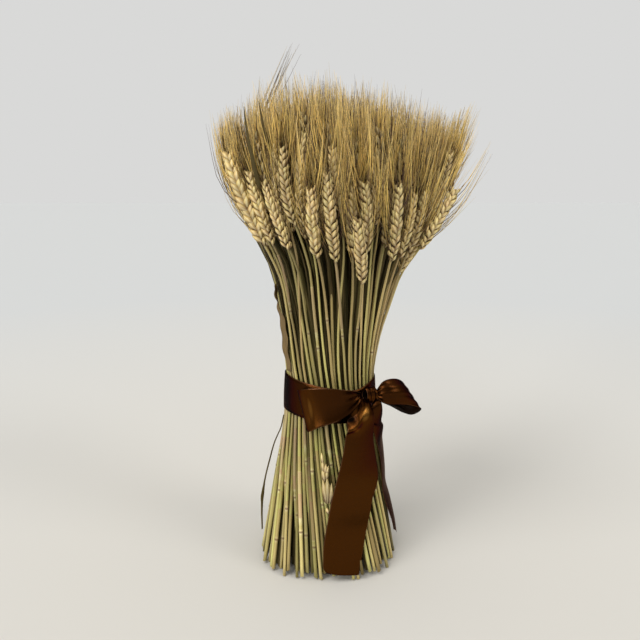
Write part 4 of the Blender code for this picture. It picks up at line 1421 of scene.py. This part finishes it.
# The front tail's rounded corner: from where to the end, and how far it cuts in.
CORNER_FROM, CORNER_REACH, CORNER_CUT = 0.955, 0.045, 0.42

# The knot: its rows and columns, half its length, its half height and half depth, its distance
# from the axis, its height and how far one end hangs lower.
KNOT_GRID = (64, 41)
KNOT_HALF, KNOT_TALL, KNOT_DEEP = 0.0078, 0.0070, 0.0052
KNOT_RADIUS, KNOT_HEIGHT, KNOT_DROP = 0.0545, 0.1796, 0.0012


class WHEAT_OT_ribbon_band(bpy.types.Operator):
    """Build the ribbon's band round the waist"""

    bl_idname = "wheat.ribbon_band"
    bl_label = "Ribbon band"

    def execute(self, context):
        """The band dips towards the knot, where it is drawn narrower."""
        edges = [(on_sheaf(angle, band_radius(low), low), on_sheaf(angle, band_radius(high), high), 0.0004)
                 for angle, high, low in BAND]
        sizes = context.scene.ribbon_sizes
        piece = cloth("satin_band", edges, sizes, 170, columns=13, closed=True)
        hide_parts("ribbon_band")
        return {"FINISHED"}


class WHEAT_OT_bow(bpy.types.Operator):
    """Build the bow: the knot and its two loops"""

    bl_idname = "wheat.bow"
    bl_label = "Bow"

    def execute(self, context):
        """The left loop lies over the band, the right one stands out on its own."""
        sizes = context.scene.ribbon_sizes
        edges = [
            (on_sheaf(low_angle, radius, low), on_sheaf(high_angle, radius, high), 0.0024 * (radius > 0.0525))
            for high_angle, high, low_angle, low, radius in LEFT_LOOP
        ]
        left = cloth("satin_loop_left", edges, sizes, 130, columns=25, pleats=0.0008, pleat_reach=0.07,
                     folds=LOOP_PAINTED_HIGHLIGHT)
        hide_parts("bow_loop_left")

        right = cloth("satin_loop_right", RIGHT_LOOP, sizes, 130, columns=33, pleats=0.0006, pleat_reach=0.10,
                      pleat_count=4.0, end_pleats=0.0030)
        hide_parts("bow_loop_right")
        self.knot(sizes)
        return {"FINISHED"}

    def knot(self, sizes):
        """The knot: a narrow wrap with pleats that run over it from top to bottom."""
        rows, columns = KNOT_GRID
        turn = np.linspace(0, 2 * np.pi, rows, endpoint=False)[:, None]
        across = np.linspace(-1, 1, columns)[None, :]
        pinch = 1.0 - 0.22 * across ** 2
        pleat = 1.0 + 0.13 * np.cos(across * 9.0 + 0.8 * np.sin(turn)) + 0.05 * np.sin(3 * turn + across * 3)
        up = KNOT_TALL * np.sin(turn) * pinch * pleat
        out = KNOT_DEEP * np.cos(turn) * pinch * pleat
        angle = math.radians(KNOT_ANGLE)
        away = np.array([math.cos(angle), math.sin(angle), 0.0])
        tangent = np.array([-math.sin(angle), math.cos(angle), 0.0])
        middle = on_sheaf(KNOT_ANGLE, KNOT_RADIUS, KNOT_HEIGHT)
        points = (middle + tangent * (KNOT_HALF * across)[..., None]
                  + away * out[..., None] + np.array([0, 0, 1.0]) * up[..., None])
        points[..., 2] -= KNOT_DROP * across
        parts = Parts()
        # Its along number runs round the wrap, so the satin's painted shade and light change round the knot.
        parts.add_sheet(points, (across + 1) / 2, turn / 6.3, np.abs(across), (across * 0.019, turn * 0.0065),
                        closed=True)
        knot = parts.build("satin_knot", satin_materials())
        thickened(knot, "satin", sizes.thickness, material_offset=1)
        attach(knot, "root")
        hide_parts("bow_knot")


class WHEAT_OT_ribbon_tails(bpy.types.Operator):
    """Build the ribbon's two tails"""

    bl_idname = "wheat.ribbon_tails"
    bl_label = "Ribbon tails"

    def execute(self, context):
        """The front tail opens from a cupped fold; the back one curls out and hangs edge-on."""
        sizes = context.scene.ribbon_sizes
        edges = self.hung(TAIL_AWAY, TAIL_CLOSE, 0.0022, 0.0022)
        front = cloth("satin_tail_front", edges, sizes, 164, columns=41, pleats=0.0005, pleat_reach=0.04,
                      extra=self.cupped, folds=TAIL_PAINTED_LIGHT)
        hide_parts("ribbon_tail_front")

        edges = self.hung(BACK_TAIL_AWAY, BACK_TAIL_CLOSE, 0.0060, 0.0010)
        back = cloth("satin_tail_back", edges, sizes, 120, columns=21, pleats=0.0006, pleat_reach=0.06)
        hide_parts("ribbon_tail_back")
        return {"FINISHED"}

    @staticmethod
    def hung(away, close, swell, close_swell):
        """A tail's edges: first away from the stems, then close to them."""
        edges = [(on_sheaf(left, radius, high), on_sheaf(right, radius, low), swell)
                 for left, high, right, low, radius in away]
        (floor_more, floor_from, floor_reach), (away_more, away_from, away_reach) = FLOOR_GAP, AWAY_GAP
        for left, high, right, low in close:
            gap = (TAIL_GAP + floor_more * ease((floor_from - low) / floor_reach)
                   + away_more * ease((low - away_from) / away_reach))
            edges.append((on_sheaf(left, FLOW.radius_at(high) + gap, high),
                          on_sheaf(right, FLOW.radius_at(low) + gap, low), close_swell))
        edges[0] = (*edges[0][:2], 0.0)
        return edges

    @staticmethod
    def cupped(points, across, share):
        """A pocket under the knot at the left, darkened by painted shade, a rolled lip below, a round corner.
        """
        away = outward_from_axis(points)
        degrees = np.degrees(np.arctan2(away[..., 1], away[..., 0]))
        aside = (degrees - POCKET_ANGLE) / POCKET_HALF_ANGLE
        down = (points[..., 2] - POCKET_HEIGHT) / POCKET_HALF_HEIGHT
        reach = np.hypot(aside, down)
        below = ease(0.5 - 0.8 * down / np.maximum(reach, 0.2))
        pocket = np.exp(-reach ** POCKET_SHARPNESS)
        lip = np.exp(-((reach - LIP_AT) / LIP_WIDTH) ** 2) * below
        points = points + away * (LIP_RISE * lip - POCKET_DEPTH * pocket)[..., None]
        last = np.clip((share - CORNER_FROM) / CORNER_REACH, 0.0, 1.0)
        cut = CORNER_CUT * (1.0 - np.sqrt(1.0 - 0.98 * last ** 2)) * (across < 0)
        width = points[:, -1:] - points[:, :1]
        return points + width * (cut * np.clip(-across, 0, 1) * 0.5)[..., None]


# ---------------------------------------------------------------- loose bits


LEAF_GRID = (40, 7)
LEAF_THICKNESS = 0.00025


def leaf_strip(name, middles, halves, fold, ripple, replaces, seed, tone=None):
    """A dry leaf: a strip folded along its vein, with a rippled edge."""
    rng = np.random.default_rng(seed)
    rows, columns = LEAF_GRID
    middle, half = spline(middles, rows), spline(halves, rows)
    across = np.linspace(-1, 1, columns)[None, :]
    side = across[..., None]
    run = np.gradient(middle, axis=0)
    normal = unit(np.cross(run, half))
    share = np.linspace(0, 1, rows)
    wave = ripple * np.sin(share * 23 + rng.uniform(0, 6)) * np.sin(share * 9)
    points = (middle[:, None] + half[:, None] * side
              + normal[:, None] * (fold * np.abs(side) + wave[:, None, None] * np.abs(side) ** 2))
    own = rng.uniform(0.2, 0.8)
    parts = Parts()
    parts.add_sheet(points, own if tone is None else tone, share[:, None], 0.0,
                    (across * 0.003, run_lengths(run)[:, None]))
    piece = parts.build(name, [material("Dry_leaf")])
    thickened(piece, "leaf", LEAF_THICKNESS, offset=0.0)
    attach(piece, "root")
    if replaces:
        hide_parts(replaces)


# Dark blades among the awns: points from foot to tip, the width and the tone of each.
DARK_BLADES = (
    (((-0.0585, -0.062, 0.3664), (-0.0611, -0.073, 0.3796), (-0.0631, -0.080, 0.3923),
      (-0.0658, -0.083, 0.4056), (-0.0678, -0.084, 0.4196), (-0.0692, -0.084, 0.4337)), 0.0036, 0.25),
    (((-0.0491, -0.064, 0.3953), (-0.0510, -0.075, 0.4060), (-0.0536, -0.082, 0.4173),
      (-0.0552, -0.084, 0.4265), (-0.0572, -0.084, 0.4378)), 0.0028, 0.35),
    (((-0.0378, -0.074, 0.4180), (-0.0421, -0.082, 0.4260), (-0.0451, -0.084, 0.4341)), 0.0020, 0.9),
)
# A dark blade's width from foot to tip.
BLADE_SHAPE = (0.6, 0.9, 1.0, 0.9, 0.75, 0.55, 0.35, 0.10)
# The long dark blade beside the lower stems, from its foot up: side and height of each point; its
# depth; and half its width over its height.
LOW_BLADE = (
    (-0.0673, 0.0274), (-0.0673, 0.0429), (-0.0671, 0.0560), (-0.0664, 0.0648), (-0.0642, 0.0788),
    (-0.0600, 0.0971), (-0.0548, 0.1173), (-0.0500, 0.1299), (-0.0464, 0.1382), (-0.0440, 0.1500),
)
LOW_BLADE_DEPTH = -0.012
LOW_BLADE_HALF = ((0.027, 0.0007), (0.058, 0.0013), (0.066, 0.0020), (0.078, 0.0010), (0.15, 0.0007))
# The withered leaf up the left side: true angle, height, distance from the stems, half its width;
# where its tip curls out, and over what length.
LEAF = (
    (-152, 0.197, 0.0021, 0.0040), (-153, 0.212, 0.0021, 0.0056), (-154, 0.226, 0.0021, 0.0066),
    (-155, 0.240, 0.0022, 0.0070), (-156, 0.252, 0.0024, 0.0062), (-158, 0.262, 0.0028, 0.0050),
    (-161, 0.270, 0.0030, 0.0040), (-162, 0.277, 0.0030, 0.0028), (-160, 0.281, 0.0022, 0.0012),
)
CURL_FROM, CURL_REACH = 0.256, 0.02
# The broken ear's husks: true angle and height of the foot, of the tip, width, tone; and how far
# they lie from the stems' middles.
BROKEN_EAR = (
    (-90.6, 0.0785, -93.6, 0.1012, 0.0050, 0.20), (-89.6, 0.0780, -89.6, 0.1030, 0.0060, -0.05),
    (-87.6, 0.0783, -85.2, 0.0975, 0.0048, 0.05), (-92.0, 0.0990, -94.2, 0.1105, 0.0042, 0.35),
    (-90.6, 0.1000, -89.6, 0.1100, 0.0040, 0.10), (-92.2, 0.1060, -91.0, 0.1155, 0.0036, 0.45),
    (-93.6, 0.1080, -95.0, 0.1185, 0.0034, 0.50), (-90.8, 0.1040, -88.6, 0.1140, 0.0036, 0.20),
    (-94.4, 0.1150, -96.6, 0.1262, 0.0030, 0.80), (-89.2, 0.0684, -90.3, 0.0742, 0.0036, 0.60),
)
BROKEN_EAR_GAP = 0.0034
# A few tall awns at the left, above the rest: how many, where they start, how far they stray,
# which way they turn, the height that they may reach, and their thickness.
TALL_AWNS = 13
TALL_FOOT, TALL_SPREAD = (-0.060, -0.030, 0.405), (0.0045, 0.003, 0.006)
TALL_HEADING, TALL_TARGET, TALL_TOP, TALL_RADIUS = (-0.02, 0.0, 1.0), (0.42, 0.0, 0.90), 0.492, 0.00042
TALL_SEED, LEAF_SEED, LOW_BLADE_SEED, BLADE_SEED = 77, 3, 4, 10


class WHEAT_OT_loose_bits(bpy.types.Operator):
    """Build the broken ear, the tall awns, the withered leaf and the dark blades"""

    bl_idname = "wheat.loose_bits"
    bl_label = "Loose bits"

    def execute(self, context):
        """Each lies on the sheaf at its own angle and height."""
        self.broken_ear()
        self.tall_awns()
        self.leaf()
        self.blades()
        return {"FINISHED"}

    @staticmethod
    def broken_ear():
        """The ear caught under the ribbon: its husks alone."""
        foot_angle, foot, tip_angle, tip, width, tone = np.transpose(BROKEN_EAR)
        roots, tips = (
            FLOW.level(np.radians(angle), FLOW.radius_at(height) + BROKEN_EAR_GAP, height)
            for angle, height in ((foot_angle, foot), (tip_angle, tip)))
        out = outward_from_axis(roots)
        ahead = unit(tips - roots)
        out = unit(out - ahead * np.sum(out * ahead, 1, keepdims=True))
        parts = Parts()
        add_husks(parts, roots, ahead, np.cross(ahead, out), out, np.linalg.norm(tips - roots, axis=1), width,
                  0.35 * width, tone, True)
        ear = parts.build("broken_ear", stalk_materials())
        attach(ear, "root")
        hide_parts("loose_ear")

    @staticmethod
    def tall_awns():
        """A thin tuft of dark awns, all turned one way."""
        rng = np.random.default_rng(TALL_SEED)
        roots = np.array(TALL_FOOT) + rng.uniform(-1, 1, (TALL_AWNS, 3)) * TALL_SPREAD
        target = unit(np.array(TALL_TARGET) + rng.normal(0, 0.035, (TALL_AWNS, 3)))
        ahead = np.broadcast_to(unit(np.array(TALL_HEADING)), roots.shape)
        reach = (TALL_TOP - roots[:, 2]) / target[:, 2] * rng.uniform(0.78, 0.97, TALL_AWNS)
        parts = Parts()
        add_awns(parts, roots, ahead, target, reach, np.full(TALL_AWNS, TALL_RADIUS),
                 rng.uniform(-0.1, 0.3, TALL_AWNS), 8, rng)
        awns = parts.build("tall_awns", stalk_materials())
        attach(awns, "root")

    @staticmethod
    def leaf():
        """The withered leaf, its tip curled away from the stems."""
        angle, height, gap, half = np.transpose(LEAF)
        line = FLOW.level(np.radians(angle), FLOW.radius_at(height) + gap, height)
        away = outward_from_axis(line)
        tangent = np.cross(np.array([0, 0, 1.0]), away)
        curl = ease((height - CURL_FROM) / CURL_REACH)[:, None]
        halves = unit(tangent + 0.9 * curl * away) * half[:, None]
        leaf_strip("withered_leaf", line, halves, -0.0006, 0.0012, "dry_leaf", LEAF_SEED, 1.25)

    @staticmethod
    def blades():
        """The long dark blade beside the lower stems, and those in the beard."""
        side, height = np.transpose(LOW_BLADE)
        line = np.stack([side, np.full(len(side), LOW_BLADE_DEPTH), height], 1)
        half = np.interp(height, *np.transpose(LOW_BLADE_HALF))
        leaf_strip("dark_blade", line, np.array([[0.8, 0.6, 0.1]]) * half[:, None], 0.0002, 0.0003,
                   "dry_blade", LOW_BLADE_SEED)
        for number, (points, width, tone) in enumerate(DARK_BLADES, start=1):
            halves = np.array([[1.0, 0.1, 0.15]]) * np.array(BLADE_SHAPE)[:, None] * width / 2
            leaf_strip(f"beard_blade_{number}", spline(points, len(BLADE_SHAPE)), halves, 0.0003, 0.0002,
                       None, BLADE_SEED + number, tone)


# ---------------------------------------------------------------- stage


FLOOR_REACH = 12.0
SEEN_ROOM = (0.694, 0.694, 0.686)
ROOM_LIGHT = (0.98, 0.99, 1.0)
FAR_FLOOR = (0.600, 0.603, 0.590)
# The soft suns: the direction that each shines in, its strength, and its spread in degrees.
SUNS = {
    "key": ((0.66, 0.70, -1.15), 1.30, 34.0), "left": ((0.66, 0.73, -0.20), 0.80, 20.0),
    "front": ((0.25, 0.83, -0.50), 0.20, 14.0), "fill": ((-0.74, 0.42, -0.56), 0.62, 24.0),
}
EYE, EYE_TILT, LENS, SENSOR = (-0.00837, -0.65, 0.375), 78.5, 38.25, 36.0


class WHEAT_OT_stage(bpy.types.Operator):
    """Build the pale floor, the soft light and the camera"""

    bl_idname = "wheat.stage"
    bl_label = "Stage"

    def execute(self, context):
        """A plain floor, a pale room, four soft suns and the camera in front, a little above."""
        scene = context.scene
        self.floor(scene)
        self.room(scene)
        for name, (aim, strength, spread) in SUNS.items():
            light = bpy.data.lights.new(name, "SUN")
            light.energy = strength
            light.angle = math.radians(spread)
            lamp = bpy.data.objects.new(name, light)
            lamp.rotation_euler = Vector(aim).to_track_quat("-Z", "Y").to_euler()
            scene.collection.objects.link(lamp)

        camera = bpy.data.cameras.new("camera")
        camera.lens = LENS
        camera.sensor_width = SENSOR
        eye = bpy.data.objects.new("camera", camera)
        eye.location = EYE
        eye.rotation_euler = (math.radians(EYE_TILT), 0.0, 0.0)
        scene.collection.objects.link(eye)
        scene.camera = eye
        scene.view_settings.view_transform = "Standard"
        return {"FINISHED"}

    @staticmethod
    def floor(scene):
        """A wide plain floor."""
        mesh = bpy.data.meshes.new("pale_floor")
        corners = [(-1, -1), (1, -1), (1, 1), (-1, 1)]
        mesh.from_pydata([(x * FLOOR_REACH, y * FLOOR_REACH, 0) for x, y in corners], [], [(0, 1, 2, 3)])
        mesh.materials.append(material("Pale_floor"))
        floor = bpy.data.objects.new("pale_floor", mesh)
        scene.collection.objects.link(floor)

    @staticmethod
    def room(scene):
        """A pale room behind the sheaf, which lights it more from above than from below."""
        world = bpy.data.worlds.new("soft_room")
        world.use_nodes = True
        tree = world.node_tree
        seen, lit = tree.nodes["Background"], node(tree, "ShaderNodeBackground")
        feed(tree, seen.inputs["Color"], SEEN_ROOM)
        feed(tree, lit.inputs["Color"], ROOM_LIGHT)
        direction = node(tree, "ShaderNodeSeparateXYZ")
        feed(tree, direction.inputs[0], node(tree, "ShaderNodeTexCoord").outputs["Generated"])
        feed(tree, lit.inputs["Strength"], ranged(tree, direction.outputs["Z"], -0.05, 0.75, 0.10, 0.78))
        either = node(tree, "ShaderNodeMixShader")
        rays = node(tree, "ShaderNodeLightPath")
        for place, value in enumerate((rays.outputs["Is Camera Ray"], lit.outputs[0], seen.outputs[0])):
            feed(tree, either.inputs[place], value)
        feed(tree, tree.nodes["World Output"].inputs["Surface"], either.outputs[0])
        scene.world = world


# ---------------------------------------------------------------- add-on


PROPERTY_GROUPS = {"stalk_sizes": StalkSizes, "ribbon_sizes": RibbonSizes, "sheaf_colours": SheafColours}
OPERATORS = (
    WHEAT_OT_outer_stalks, WHEAT_OT_packed_stalks, WHEAT_OT_ribbon_band, WHEAT_OT_bow, WHEAT_OT_ribbon_tails,
    WHEAT_OT_loose_bits, WHEAT_OT_stage,
)


class WHEAT_PT_sheaf(bpy.types.Panel):
    """The sheaf's sizes, colours and steps"""

    bl_idname = "WHEAT_PT_sheaf"
    bl_label = "Dried wheat sheaf"
    bl_space_type = "VIEW_3D"
    bl_region_type = "UI"
    bl_category = "Wheat"

    def draw(self, context):
        """The settings, then a button for each step."""
        for key, group in PROPERTY_GROUPS.items():
            for name in group.__annotations__:
                self.layout.prop(getattr(context.scene, key), name)
        for operator in OPERATORS:
            self.layout.operator(operator.bl_idname)


def register():
    """Register the classes and the scene's settings."""
    for made in (*PROPERTY_GROUPS.values(), *OPERATORS, WHEAT_PT_sheaf):
        bpy.utils.register_class(made)
    for key, group in PROPERTY_GROUPS.items():
        setattr(bpy.types.Scene, key, bpy.props.PointerProperty(type=group))


def unregister():
    """Remove the settings and the classes."""
    for key in PROPERTY_GROUPS:
        delattr(bpy.types.Scene, key)
    for made in reversed((*PROPERTY_GROUPS.values(), *OPERATORS, WHEAT_PT_sheaf)):
        bpy.utils.unregister_class(made)


def main():
    """Build everything."""
    register()
    bpy.ops.wheat.outer_stalks()
    bpy.ops.wheat.packed_stalks()
    bpy.ops.wheat.ribbon_band()
    bpy.ops.wheat.bow()
    bpy.ops.wheat.ribbon_tails()
    bpy.ops.wheat.loose_bits()
    bpy.ops.wheat.stage()


if __name__ == "__main__":
    main()
